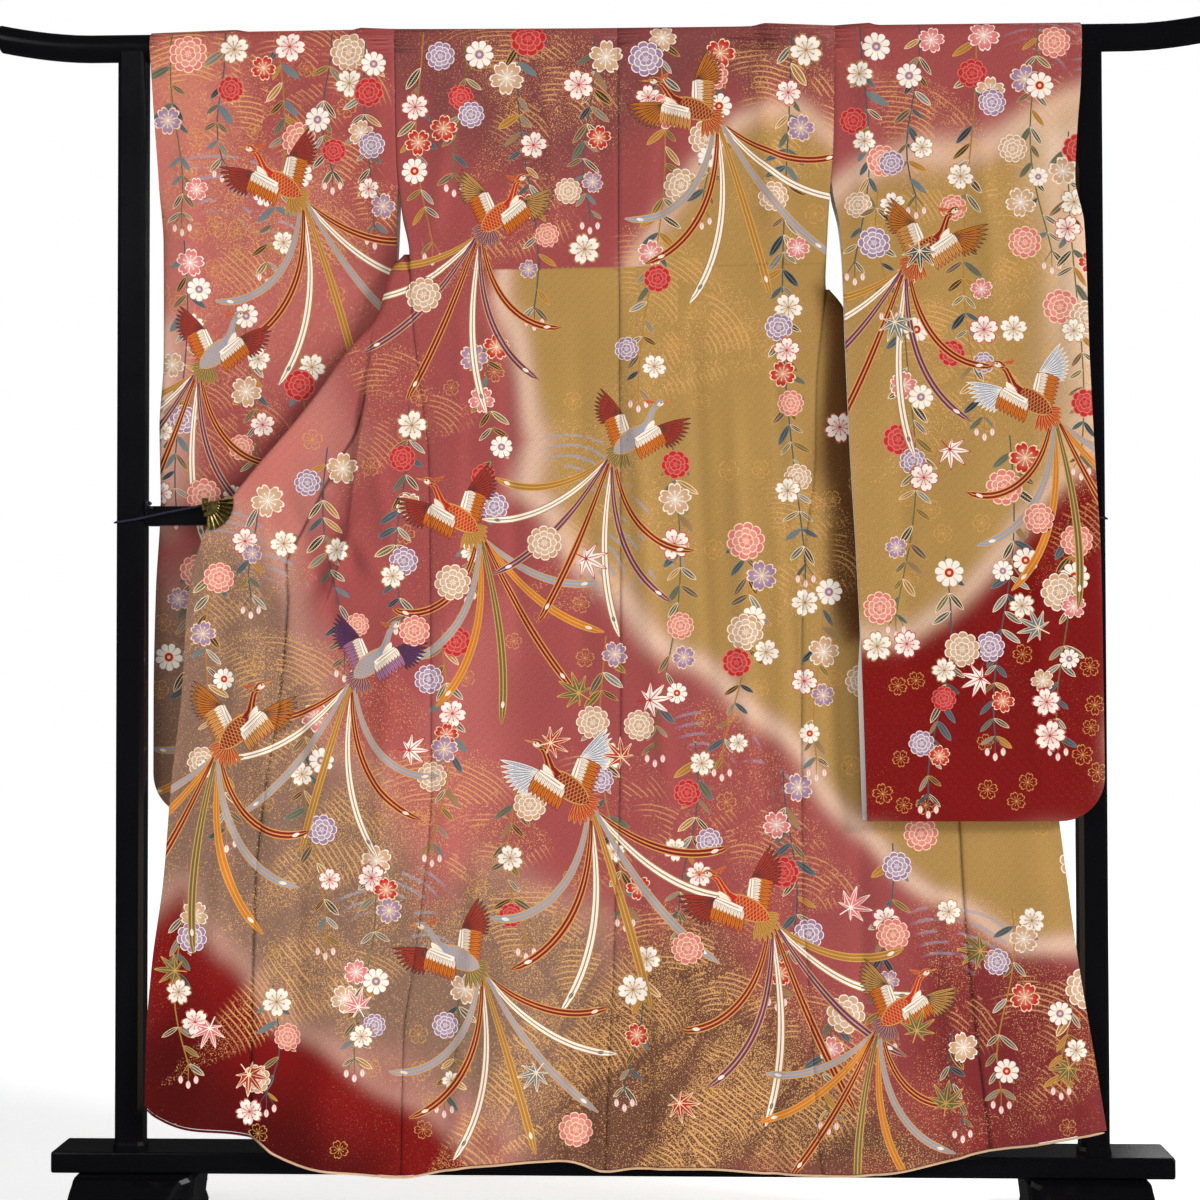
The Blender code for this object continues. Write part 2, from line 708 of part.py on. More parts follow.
def clip(name, side, opened, turned, material):
    """A fan-shaped brass clip that grips the folded edge of one front from in front and behind."""
    out = -1.0 if side == "left" else 1.0
    pivot = (out * 569.0, CLIP_HEIGHT)
    ahead = POST_Y + float(read(opened, "hang", CLIP_HEIGHT - FAN_RADIUS)) - WALL / 2 - CLIP_ROOM
    behind = POST_Y + float(read(turned, "depth", CLIP_HEIGHT + 8)) + WALL / 2 + CLIP_ROOM
    fan = [(pivot[0] + out * 7, pivot[1] + 8)]
    start = math.radians(14)
    sweep = math.radians(104)
    for k in range(FAN_RIBS * 2 + 1):
        a = start - sweep * k / (FAN_RIBS * 2)
        r = FAN_RADIUS + (1.3 if k % 2 else 0.0)
        fan.append((pivot[0] - out * r * math.cos(a), pivot[1] + r * math.sin(a)))
    fan.append((pivot[0] + out * 7, pivot[1] - 10))
    front_plate = prism(name, fan, ahead - 2.4, ahead, material)
    tongue = [(pivot[0] + out * 7, pivot[1] + 8), (pivot[0] - out * 30, pivot[1] - 4)]
    tongue += [(pivot[0] - out * 30, pivot[1] - 18), (pivot[0] + out * 7, pivot[1] - 10)]
    back_plate = prism(name + "_back", tongue, behind, behind + 1.8, material)
    bridge = [(pivot[0] + out * 7, pivot[1] + 8), (pivot[0] + out * 0.5, pivot[1] + 8)]
    bridge += [(pivot[0] + out * 0.5, pivot[1] - 10), (pivot[0] + out * 7, pivot[1] - 10)]
    joint = prism(name + "_joint", bridge, ahead - 1.2, behind + 0.9, material)
    for part in (joint, back_plate):
        part.hide_render = True
        part.display_type = "WIRE"
        union = front_plate.modifiers.new(part.name, "BOOLEAN")
        union.operation = "UNION"
        union.object = part
    return front_plate


def cord(name, side, material):
    """A thin cord from the clip across the post's front, round it and back to the first strand."""
    out = -1.0 if side == "left" else 1.0
    clear = CORD_RADIUS + SEAT_GAP + 0.1
    w = POST_HALF_WIDTH + clear
    d = POST_HALF_DEPTH + clear
    corner = 5.0
    centre = POST_HALF_SPACING
    route = [(576.4, -23.0, 1038.0), (600.0, -23.0, 1033.0), (630.0, -22.0, 1027.5)]
    route += [(centre - w + corner, -d, 1020.0), (centre, -d, 1017.0), (centre + w - corner, -d, 1014.5)]
    route += [(centre + w - 1.4, -d + 1.4, 1014.0), (centre + w, -d + corner, 1014.0)]
    route += [(centre + w, 0.0, 1017.0)]
    route += [(centre + w, d - corner, 1021.0), (centre + w - 1.4, d - 1.4, 1022.0)]
    route += [(centre + w - corner, d, 1023.0), (centre, d, 1032.0), (centre - w + corner, d, 1042.0)]
    route += [(centre - w + 1.4, d - 1.4, 1043.0), (centre - w, d - corner, 1044.0)]
    route += [(centre - w, 0.0, 1045.0), (centre - w - 1.0, 6 - d, 1043.0)]
    route += [(centre - w - 4.0, 1 - d, 1039.0), (centre - w - 12.0, -d - 1, 1034.0)]
    path = smooth_path(route, 2)
    return tube(name, [(out * x, POST_Y + y, z) for x, y, z in path], CORD_RADIUS, material, sides=8)


def smooth_path(route, between):
    """More points along a smooth curve through the given ones."""
    points = [np.array(p, float) for p in route]
    made = []
    for i in range(len(points) - 1):
        before = points[max(i - 1, 0)]
        here = points[i]
        there = points[i + 1]
        after = points[min(i + 2, len(points) - 1)]
        for k in range(between):
            t = k / between
            made.append(
                0.5
                * (
                    2 * here
                    + (there - before) * t
                    + (2 * before - 5 * here + 4 * there - after) * t**2
                    + (3 * here - before - 3 * there + after) * t**3
                )
            )
    made.append(points[-1])
    return made


def hem_edge(name, panels, material, sides=6):
    """The padded lining edge that shows as a thin roll under the hem, as one closed tube."""
    foot_row = []
    for panel, turned_round in panels:
        foot_row += list(panel[::-1] if turned_round else panel)
    steps = [9.0] + [float(np.linalg.norm(b - a)) for a, b in zip(foot_row, foot_row[1:])]
    foot_row = [point for point, step in zip(foot_row, steps) if step > 3.0]
    line = []
    for i, here in enumerate(foot_row):
        along = foot_row[min(i + 1, len(foot_row) - 1)] - foot_row[max(i - 1, 0)]
        below = np.array([along[2], 0.0, -along[0]])
        line.append(here + below / np.linalg.norm(below) * (HEM_ROLL + SEAT_GAP + 0.5))
    rings = []
    for i, here in enumerate(line):
        before = line[max(i - 1, 0)]
        after = line[min(i + 1, len(line) - 1)]
        along = np.array(after) - np.array(before)
        along /= np.linalg.norm(along)
        depth = np.array([0.0, 1.0, 0.0]) - along * along[1]
        depth /= np.linalg.norm(depth)
        up = np.cross(depth, along)
        centre = np.array(here)
        ring = []
        for k in range(sides):
            a = 2 * math.pi * (k + 0.5) / sides
            ring.append(tuple(centre + HEM_ROLL * (depth * math.cos(a) + up * math.sin(a))))
        rings.append(ring)
    return loft(name, rings, material)


def main():
    clear_scene()
    black = lacquer("black_lacquer", (0.012, 0.012, 0.016), 0.12)
    brass = lacquer("antique_brass", (0.36, 0.27, 0.09), 0.35, 0.9)
    silk = lacquer("rose_silk", (0.48, 0.11, 0.12), 0.5)
    gold = lacquer("gold_silk", (0.55, 0.33, 0.1), 0.5)
    deep = lacquer("deep_red_silk", (0.32, 0.02, 0.02), 0.5)
    taupe = lacquer("taupe_silk", (0.3, 0.2, 0.13), 0.5)
    lining = lacquer("pale_lining", (0.74, 0.62, 0.5), 0.6)
    purple = lacquer("purple_cord", (0.03, 0.015, 0.06), 0.6)

    top_bar(black)
    post("upright_left", -1, black)
    post("upright_right", 1, black)
    inner = POST_HALF_SPACING - POST_HALF_WIDTH - SEAT_GAP
    rail_low = (-inner, POST_Y - RAIL_HALF, RAIL_HEIGHT - RAIL_HALF)
    rail_high = (inner, POST_Y + RAIL_HALF, RAIL_HEIGHT + RAIL_HALF)
    bevelled_box("mid_rail", rail_low, rail_high, 3.0, black)
    plank_low = (-PLANK_HALF_LENGTH, -PLANK_HALF_DEPTH, PLANK_LOW)
    plank_high = (PLANK_HALF_LENGTH, PLANK_HALF_DEPTH, PLANK_TOP)
    bevelled_box("base_plank", plank_low, plank_high, 3.0, black)
    foot("foot_left", -1, black)
    foot("foot_right", 1, black)

    feet = {"back_left": back_panel("back_left", "left", "middle", silk)}
    feet["back_right"] = back_panel("back_right", "middle", "right", gold)
    for side, opened, turned, cloth in (
        ("left", OPENED_LEFT, TURNED_LEFT, taupe),
        ("right", OPENED_RIGHT, TURNED_RIGHT, silk),
    ):
        front = opened_panel("front_" + side, opened, turned, side, "front", silk, 12)
        overlap = opened_panel("overlap_" + side, opened, turned, side, "overlap", cloth, 9)
        feet["front_" + side] = front
        feet["overlap_" + side] = overlap
        turned_panel("front_top_" + side, turned, opened, "front", silk, 9)
        turned_panel("overlap_top_" + side, turned, opened, "overlap", silk, 8)
        turned_panel("collar_" + side, turned, opened, "collar", silk, 5)
    collar_neck("collar_neck", silk)
    order = [("overlap_left", True), ("front_left", True), ("back_left", False)]
    order += [("back_right", False), ("front_right", False), ("overlap_right", False)]
    hem_edge("hem_edge", [(feet[panel], turned_round) for panel, turned_round in order], lining)
    sleeve_layer("sleeve_left_back", SLEEVE_LEFT, "left", -1, silk)
    sleeve_layer("sleeve_left_front", SLEEVE_LEFT, "left", 1, silk)
    sleeve_layer("sleeve_right_back", SLEEVE_RIGHT, "right", -1, deep)
    sleeve_layer("sleeve_right_front", SLEEVE_RIGHT, "right", 1, deep)

    clip("clip_left", "left", OPENED_LEFT, TURNED_LEFT, brass)
    clip("clip_right", "right", OPENED_RIGHT, TURNED_RIGHT, brass)
    cord("cord_left", "left", purple)
    cord("cord_right", "right", purple)


main()
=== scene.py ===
"""The looks of a furisode kimono on its display stand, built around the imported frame.

The cloth is drawn flat, in millimetres: x runs along the bar and b runs up the cloth, over the bar's top
too. Each piece of cloth is cut from that drawing and then hung by its own function.
"""

import functools
import json
import math
import random

import bmesh
import bpy
import numpy as np
from mathutils import Matrix, Vector
from mathutils.geometry import delaunay_2d_cdt

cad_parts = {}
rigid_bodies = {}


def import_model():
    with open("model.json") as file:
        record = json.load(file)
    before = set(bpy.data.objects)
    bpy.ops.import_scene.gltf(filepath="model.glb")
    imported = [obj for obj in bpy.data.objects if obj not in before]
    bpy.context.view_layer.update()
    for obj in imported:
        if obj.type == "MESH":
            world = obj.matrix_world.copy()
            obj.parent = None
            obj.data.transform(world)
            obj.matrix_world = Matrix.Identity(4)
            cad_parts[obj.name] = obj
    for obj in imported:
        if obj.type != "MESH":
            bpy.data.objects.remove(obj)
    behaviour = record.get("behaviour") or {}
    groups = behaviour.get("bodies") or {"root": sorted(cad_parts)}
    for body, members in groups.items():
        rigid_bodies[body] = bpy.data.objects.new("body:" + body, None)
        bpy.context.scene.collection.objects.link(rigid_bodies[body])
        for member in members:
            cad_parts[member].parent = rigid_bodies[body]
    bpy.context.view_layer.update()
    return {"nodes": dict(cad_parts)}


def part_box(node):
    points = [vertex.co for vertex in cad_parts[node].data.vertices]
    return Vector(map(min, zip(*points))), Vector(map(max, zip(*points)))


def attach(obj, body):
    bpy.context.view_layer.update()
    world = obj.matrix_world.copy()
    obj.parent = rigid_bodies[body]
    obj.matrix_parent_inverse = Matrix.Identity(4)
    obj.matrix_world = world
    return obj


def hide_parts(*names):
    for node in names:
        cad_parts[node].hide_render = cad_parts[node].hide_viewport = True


bl_info = {
    "name": "Furisode kimono on a stand",
    "version": (1, 0, 0),
    "blender": (4, 5, 0),
    "location": "3D View > Sidebar > Kimono",
    "description": "Builds the silk, the lacquered stand and the clips around the packed frame",
    "category": "Object",
}

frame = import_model()

MM = 0.001
SILK = 1.2

# Sizes of the stand and the cloth, as in the solids
BAR_HEIGHT = 1700.0
BAR_RADIUS = 19.5
BAR_HALF_LENGTH = 876.0
BAR_BEND_START = 745.0
BAR_BEND_RISE = 16.0
POST_Y = -21.0
CLOTH_ON_BAR = 20.85
SLEEVE_JOIN = 1490.0
SLEEVE_BOTTOM = 592.0
SLEEVE_CORNER = 62.0
CUFF_LOW = 1495.0
COLLAR_WIDTH = 52.0
NECK_HALF = 92.0
NECK_BAND = 28.0
CLIP_HEIGHT = 1040.0
FAN_RIBS = 9
FAN_THICK = 0.0024
FAN_RADII = (0.004, 0.0155, 0.017, 0.0185, 0.0375)
TUCK_HEIGHT = 1373.0
# Which way is outwards along the bar on each side
OUT = {"left": -1.0, "right": 1.0}


def rows_of(text):
    """Rows of numbers, with a semicolon between one row and the next."""
    return [tuple(float(word) for word in row.split()) for row in text.split(";")]


def table(names, text):
    """A short table with named columns; the first column is the one it is read by."""
    columns = names.split()
    ordered = sorted(rows_of(text))
    made = {name: np.array([row[i] for row in ordered]) for i, name in enumerate(columns)}
    made["key"] = columns[0]
    return made


def fold_table(text):
    """Folds in the order they are listed: upper end, lower end, half width and height of each."""
    columns = ("x_up", "z_up", "x_low", "z_low", "half", "rise")
    return dict(zip(columns, np.array(rows_of(text)).T))


def read(tab, name, value):
    """One column of a table at a value of its first column, along a smooth curve that never overshoots."""
    x = tab[tab["key"]]
    y = tab[name]
    step = np.diff(x)
    rise = np.diff(y) / step
    slope = np.zeros(len(x))
    for i in range(1, len(x) - 1):
        if rise[i - 1] * rise[i] > 0:
            a = 2 * step[i] + step[i - 1]
            b = step[i] + 2 * step[i - 1]
            slope[i] = (a + b) / (a / rise[i - 1] + b / rise[i])
    slope[0] = rise[0]
    slope[-1] = rise[-1]
    v = np.clip(np.asarray(value, float), x[0], x[-1])
    k = np.clip(np.searchsorted(x, v, side="right") - 1, 0, len(x) - 2)
    h = step[k]
    t = (v - x[k]) / h
    return (
        y[k] * (1 + 2 * t) * (1 - t) ** 2
        + h * slope[k] * t * (1 - t) ** 2
        + y[k + 1] * t * t * (3 - 2 * t)
        + h * slope[k + 1] * t * t * (t - 1)
    )


# Outline of the back: side seams, middle seam, and how far the cloth hangs in front of the posts
BACK = table("z left middle right hang", """
    1700 -303 16 325 -20.6; 1540 -300 17 322 -21.5; 1450 -291 17 315 -22.5; 1400 -281 17 312 -23;
    1320 -278 18 308 -23.5; 1200 -265 18 296 -24; 1100 -253 19 294 -25; 960 -251 19 278 -27;
    830 -250 19 274 -29; 630 -249 17 273 -32; 485 -261 11 273 -35; 385 -274 8 279 -37; 290 -287 3 284 -39;
    95 -291 -5 298 -42
""")

# Height of the hem along its width
HEM = table("x z", """
    -660 198; -637 178; -595 162; -505 152; -469 126; -419 109; -345 99; -291 95; -221 107; -132 117;
    -60 119; -5 105; 40 110; 130 111; 223 104; 298 101; 385 105; 447 117; 528 137; 596 147; 700 165
""")

# The opened part of each front, on the viewer's side: where the overlap is sewn on, the outer edge
# (a fold down to the clip and the free edge below it) and how far it hangs in front of the posts
OPENED_LEFT = table("z overlap edge hang roll", """
    1400 -283 -285 -12 0; 1376 -300 -307 -21 1; 1340 -314 -318 -23 1; 1312 -322 -325 -23.3 1;
    1294 -332 -338 -23.5 1; 1258 -336 -370 -23.7 1; 1200 -343 -411 -24 1; 1151 -355 -450 -24.5 1;
    1091 -388 -501 -25 1; 1028 -420 -551 -26 1; 1004 -433 -570 -26.3 0; 951 -456 -587 -27 0;
    898 -453 -597 -28 0; 782 -462 -603 -30 0; 643 -482 -618 -32 0; 509 -497 -628 -34.5 0;
    384 -500 -644 -37 0; 285 -502 -651 -39 0; 150 -502 -653 -42 0
""")
OPENED_RIGHT = table("z overlap edge hang roll", """
    1345 309.5 312 -12 0; 1318 328 334 -22 1; 1294 338 345 -23.5 1; 1258 350 370 -23.7 1; 1200 356 411 -24 1;
    1151 364 450 -24.5 1; 1091 398 501 -25 1; 1028 428 551 -26 1; 1004 440 570 -26.3 0; 951 456 587 -27 0;
    857 470 605 -29 0; 643 490 625 -32 0; 509 496 641 -34.5 0; 384 504 657 -37 0; 285 514 673 -39 0;
    150 530 694 -42 0
""")

# The part of each front that hangs behind the bar and is turned in behind the opened part: its outer
# edge (the side, then the fold), the overlap's seam, the collar's seam, and its depth
TURNED_LEFT = table("z outer overlap collar depth", """
    1700 -303 -76 -76 20.6; 1600 -301.2 -79 -80 20.6; 1490 -296 -84 -92 20.6; 1440 -289 -125 -103 15;
    1400 -283 -175 -120 8; 1376 -306 -215 -132 4; 1340 -318 -272 -154 -1; 1312 -325 -305 -172 -4;
    1294 -338 -330 -184 -5.2; 1258 -370 -370 -211 -6; 1200 -411 -411 -268 -6.5; 1151 -450 -450 -334 -8;
    1091 -501 -501 -424 -13; 1028 -551 -551 -516 -20
""")
TURNED_RIGHT = table("z outer overlap collar depth", """
    1700 325 108 108 20.6; 1600 323.4 111 112 20.6; 1490 318 116 124 20.6; 1440 314.5 156 135 16;
    1400 312 204 150 10; 1345 312 270 180 2; 1318 334 300 198 -3.5; 1294 345 335 214 -5.2;
    1258 370 370 238 -6; 1200 411 411 290 -6.5; 1151 450 450 350 -8; 1091 501 501 430 -13;
    1028 551 551 516 -20
""")

# The sleeves: inner and outer edge, and the middle and half depth of the bag at both edges. The left
# one passes behind the rail, the right one hangs in front of everything
SLEEVE_LEFT = table("z inner outer mid_in half_in mid_out half_out", """
    1700 -304.5 -655 0 20.6 0 20.6; 1600 -302 -649 0 20.8 2 20; 1490 -298 -642 0.5 21.5 4 17;
    1430 -300 -640 7 16 7 14; 1380 -303 -640 16 8 9 11; 1250 -340 -641 19 6 14 7; 1150 -350 -648 21 5 19 5;
    1050 -350 -647 23 4.5 23 4.5; 913 -350 -654 24 4 24 4; 760 -348 -657 25 4 25 4; 590 -344 -657 25 4 25 4
""")
SLEEVE_RIGHT = table("z inner outer mid_in half_in mid_out half_out", """
    1700 326.5 673 0 20.6 0 20.6; 1640 325.5 671 0 20.6 -4 18.2; 1560 323.5 664 -0.5 21 -17 10;
    1490 320 660 -1 21.5 -28 4; 1430 329 671 -18 13 -33 4; 1376 332 673 -34 5.5 -36 4;
    1250 336 676 -38 5 -39 4; 1100 342 682 -42 4.5 -42 4.5; 950 350 689 -45 4.5 -45 4.5;
    830 355 690 -47 4.5 -47 4.5; 590 362 691 -50 4.5 -50 4.5
""")

# The largest folds: a line from its upper to its lower end, its half width, and its height towards
# the viewer (a trough is negative)
FOLDS = fold_table("""
    47 1372 54 740 17 4.5; -32 300 -32 60 16 -6; 195 800 262 380 26 -5; 312 900 330 600 14 -4;
    -232 1330 -228 300 15 3.5; 250 1300 246 420 15 3.5; -110 700 -150 90 40 5; 120 520 150 80 42 5;
    -380 520 -400 90 38 5; 400 560 420 90 38 5; -560 860 -585 150 32 4; 590 640 640 150 32 4
""")
SLEEVE_FOLDS = fold_table("""
    430 1690 452 1180 26 3.5; 590 1640 575 900 34 -3; 500 1200 520 640 38 3; -420 1690 -372 1480 22 3.5;
    -560 1600 -545 900 40 -3
""")

# The pocket between the left front and its overlap: how far it lies back, along its open edge
POCKET = table("z x depth", """
    1320 -330 0; 1290 -332 4; 1245 -337 8; 1171 -347 9; 1086 -358 6; 1028 -364 3.5; 940 -382 4; 870 -410 0
""")


# Smaller creases of the body's viewer side, as uneven as real ones
CREASES = fold_table("""
    -205 1370 -215 900 10 4; -150 1365 -120 760 11 -4.3; 20 1360 96 500 12 4.3; 118 1365 150 690 10 -3.9;
    176 1250 205 560 12 5; 232 1360 268 700 8 -3.9; -90 1680 -74 1385 12 4.3; 96 1690 70 1400 11 -4.3;
    215 1690 240 1390 16 6.3; -215 1690 -250 1390 13 5.6; -300 960 -330 420 14 5.6; -430 860 -440 240 12 -5;
    -520 900 -560 320 11 4.3; 60 560 76 120 14 5; 218 420 236 110 12 -4.6; -180 560 -215 120 12 5;
    -60 300 -70 110 10 -3.9; 470 540 486 130 12 5; 350 620 362 130 11 -4.3; 640 420 668 180 11 4.3;
    -340 1140 -300 960 11 5; -395 1090 -345 900 12 -5; -505 1060 -392 640 15 5.6; -470 1095 -352 780 13 -4.4;
    -530 1020 -462 470 14 5.1; -556 1000 -524 450 13 -4.1; -440 1120 -300 900 11 3.9;
    -385 430 -405 90 36 6.6; -150 400 -158 90 34 6.1; 96 360 104 90 32 5.8; 330 400 352 90 34 6.6;
    566 330 600 100 30 5.8; -40 1350 -30 620 16 -3.5; -10 1660 -14 1400 19 -3.2; -350 1030 -414 872 9 6;
    -374 1030 -436 884 10 -5; -566 1010 -470 800 16 -3.6
""")
SLEEVE_CREASES = fold_table("""
    372 1690 360 1380 13 5.6; 520 1690 548 1240 14 4.4; 640 1640 628 1120 12 -3.7; 405 1290 425 720 14 -3.7;
    590 1150 612 700 15 4.1; 470 900 462 640 10 2.3; -330 1690 -318 1440 13 5.6; -480 1690 -450 1380 14 -4.1;
    -600 1660 -610 1120 13 3.7; -520 1500 -500 1180 10 2.3; -420 1150 -440 680 11 2.4; 622 742 672 655 6 1.8;
    600 728 644 634 6 -1.5; 588 712 612 622 6 1.5; 640 770 686 690 5 1.3
""")
BAR_BUMPS = table("x half rise", """
    -535 16 3.5; -352 12 4.5; -306 8 2.5; 228 14 4.5; 372 9 3.5
""")


def srgb(red, green, blue):
    """A colour as seen on a screen, 0 to 255, as linear numbers."""
    return tuple(((c / 255 + 0.055) / 1.055) ** 2.4 if c > 10 else c / 255 / 12.92 for c in (red, green, blue))


INKS = {
    "white": srgb(240, 230, 216),
    "cream": srgb(240, 212, 172),
    "red": srgb(186, 40, 32),
    "wine": srgb(132, 26, 28),
    "pink": srgb(212, 116, 112),
    "mauve": srgb(152, 120, 150),
    "purple": srgb(98, 52, 100),
    "beige": srgb(196, 154, 116),
    "gold": srgb(206, 152, 78),
    "old_gold": srgb(168, 118, 50),
    "pale_gold": srgb(222, 166, 102),
    "orange": srgb(204, 116, 30),
    "rust": srgb(172, 52, 34),
    "slate": srgb(74, 82, 84),
    "teal": srgb(112, 122, 122),
    "olive": srgb(104, 98, 58),
    "blue": srgb(142, 150, 168),
    "ink": srgb(48, 44, 42),
}

# Flowers and how they are coloured: the kind of drawing, petals, radius, fill and outline
FLOWERS = {
    "white_cherry": ("blossom", 5, 21.0, "white", "old_gold"),
    "white_red": ("blossom", 5, 22.0, "white", "red"),
    "red_cherry": ("blossom", 5, 21.0, "red", "cream"),
    "pink_cherry": ("blossom", 5, 20.0, "pink", "white"),
    "mauve_cherry": ("blossom", 5, 20.0, "mauve", "cream"),
    "beige_cherry": ("blossom", 5, 23.0, "beige", "white"),
    "pink_double": ("rosette", 10, 24.0, "pink", "cream"),
    "beige_double": ("rosette", 10, 25.0, "beige", "white"),
    "red_double": ("rosette", 9, 22.0, "red", "pink"),
    "mauve_double": ("rosette", 9, 22.0, "mauve", "white"),
    "white_daisy": ("daisy", 9, 19.0, "white", "red"),
    "mauve_daisy": ("daisy", 9, 18.0, "white", "mauve"),
    "gold_line": ("blossom", 5, 12.5, None, "gold"),
}
SPRAY_MIX = (
    "white_cherry white_red red_cherry pink_double mauve_cherry white_daisy beige_double "
    "pink_cherry mauve_daisy white_cherry red_double beige_cherry mauve_double"
).split()


def smooth_step(value):
    """Rises smoothly from 0 to 1 as the value does."""
    held = np.clip(value, 0, 1)
    return held * held * (3 - 2 * held)


def fold_shape(folds, x, z):
    """How far soft folds push the cloth towards the viewer at each place."""
    total = np.zeros(np.broadcast(x, z).shape)
    for k in range(len(folds["rise"])):
        top, bottom = folds["z_up"][k], folds["z_low"][k]
        along = (top - z) / (top - bottom)
        middle = folds["x_up"][k] + (folds["x_low"][k] - folds["x_up"][k]) * along
        runs_out = 0.9 * (bottom < 200)
        fade = smooth_step(np.clip(along * 4, 0, 1) * np.clip((1 - along) * 4 + runs_out, 0, 1))
        total = total + folds["rise"][k] * fade * np.exp(-(((x - middle) / folds["half"][k]) ** 2))
    return total


def bar_bumps(x):
    """How far small pleats lift the cloth off the bar."""
    total = 0.0 * x
    for middle, half, rise in zip(BAR_BUMPS["x"], BAR_BUMPS["half"], BAR_BUMPS["rise"]):
        total = total + rise * np.exp(-(((x - middle) / half) ** 2))
    return total


def seam_dip(distance, depth=1.5, half=2.4):
    """The soft valley along a seam."""
    return depth * np.exp(-((distance / half) ** 2))


def rolled(distance, roll):
    """How far a rolled edge of the given radius has turned back at a distance from the fold."""
    left = np.clip(1 - distance / np.maximum(roll, 1e-6), 0, 1)
    return roll * (1 - np.sqrt(np.clip(1 - left**2, 0, 1)))


def fold_radius(opened, turned, z):
    """Half the distance between the opened and the turned part where they meet in a rolled fold."""
    apart = read(turned, "depth", z) - read(opened, "hang", z)
    return np.maximum(apart / 2, 0.0) * read(opened, "roll", z)


def over_bar(side, x, b, y_below):
    """Takes points whose b is past the bar's middle round the bar, on the viewer's side (-1) or behind."""
    turn = np.clip((b - BAR_HEIGHT) / CLOTH_ON_BAR, 0, math.pi / 2)
    firm = smooth_step((b - 1655) / 40)
    y_below = y_below * (1 - firm) + side * np.maximum(side * y_below, CLOTH_ON_BAR) * firm
    lift = bar_bumps(x) * smooth_step((b - 1560) / 140)
    radius = CLOTH_ON_BAR + lift
    level = np.minimum(b, BAR_HEIGHT)
    settle = (y_below + lift * side - side * radius) * (1 - turn / (math.pi / 2))
    y = np.where(b > BAR_HEIGHT, side * radius * np.cos(turn) + settle, y_below + lift * side)
    z = np.where(b > BAR_HEIGHT, BAR_HEIGHT + radius * np.sin(turn), level)
    return np.stack([x, POST_Y + y, z], axis=1)


def hang_back(x, b):
    """Where the back hangs: two lengths, one seam in the middle, and a tuck across."""
    z = np.minimum(b, BAR_HEIGHT)
    y = read(BACK, "hang", z) - fold_shape(FOLDS, x, z) - fold_shape(CREASES, x, z)
    y = y + seam_dip(x - read(BACK, "middle", z))
    y = y + seam_dip(x - read(BACK, "left", z)) + seam_dip(x - read(BACK, "right", z))
    above = z - TUCK_HEIGHT - 0.012 * x
    tuck = smooth_step((above + 1.2) / 2.4) * np.exp(-np.clip(above, 0, None) / 60)
    y = y - 2.0 * tuck * (np.abs(x - 16) < 300)
    return over_bar(-1, x, b, y)


def hang_opened(side, x, z):
    """Where the opened part of a front hangs, beside the back."""
    opened, turned = (OPENED_LEFT, TURNED_LEFT) if side == "left" else (OPENED_RIGHT, TURNED_RIGHT)
    outwards = OUT[side]
    from_edge = (read(opened, "edge", z) - x) * outwards
    still = np.clip(from_edge / 30, 0, 1)
    y = read(opened, "hang", z) - (fold_shape(FOLDS, x, z) + fold_shape(CREASES, x, z)) * still
    y = y + seam_dip(x - read(BACK, side, z)) + seam_dip(x - read(opened, "overlap", z)) * still
    if side == "left":
        depth = read(POCKET, "depth", z) * ((z < 1320) & (z > 870))
        beyond = np.clip((read(POCKET, "x", z) - x) / 3.4, 0, 1)
        easing = np.clip((x - read(opened, "edge", z)) / 70, 0, 1)
        y = y + depth * smooth_step(beyond) * easing
        past = x - read(opened, "overlap", z)
        window = smooth_step((1172 - z) / 60) * smooth_step((z - 900) / 80)
        y = y + 5.5 * window * smooth_step(past / 3.4) * np.exp(-np.clip(past, 0, None) / 34)
    y = y + rolled(np.clip(from_edge, 0, None), fold_radius(opened, turned, z))
    return np.stack([x, POST_Y + y, z], axis=1)


def hang_turned(side, piece, x, b):
    """Where the part of a front behind the bar hangs, from the shoulder to the rolled fold."""
    opened, turned = (OPENED_LEFT, TURNED_LEFT) if side == "left" else (OPENED_RIGHT, TURNED_RIGHT)
    z = np.minimum(b, BAR_HEIGHT)
    roll = fold_radius(opened, turned, z) * (z < opened["z"][-1])
    outwards = OUT[side]
    from_edge = np.clip((read(turned, "outer", z) - x) * outwards, 0, None)
    y = read(turned, "depth", z) - rolled(from_edge, roll)
    y = y - seam_dip(x - read(turned, "overlap", z)) * (z > 1290)
    if piece == "collar":
        width = collar_width(z)
        share = np.clip(np.abs(read(turned, "collar", z) - x) / width, 0, 1)
        y = y + 2.4 * (width / COLLAR_WIDTH) ** 2 * np.sin(share * math.pi) ** 0.7
    return over_bar(1, x, b, y)


def collar_width(z):
    return np.interp(z, (1028, 1091, 1200, 1700), (24, 36, COLLAR_WIDTH, COLLAR_WIDTH))


def hang_neck(x, b):
    """Where the collar's band lies behind the bar."""
    share = np.clip((BAR_HEIGHT - b) / NECK_BAND, 0, 1)
    middle = BACK["middle"][-1]
    bow = 3.0 * np.cos(np.clip((x - middle) / NECK_HALF, -1, 1) * math.pi / 2) * share
    placed = over_bar(1, x, b, CLOTH_ON_BAR + bow)
    placed[:, 2] = np.where(b > BAR_HEIGHT, placed[:, 2], b)
    return placed


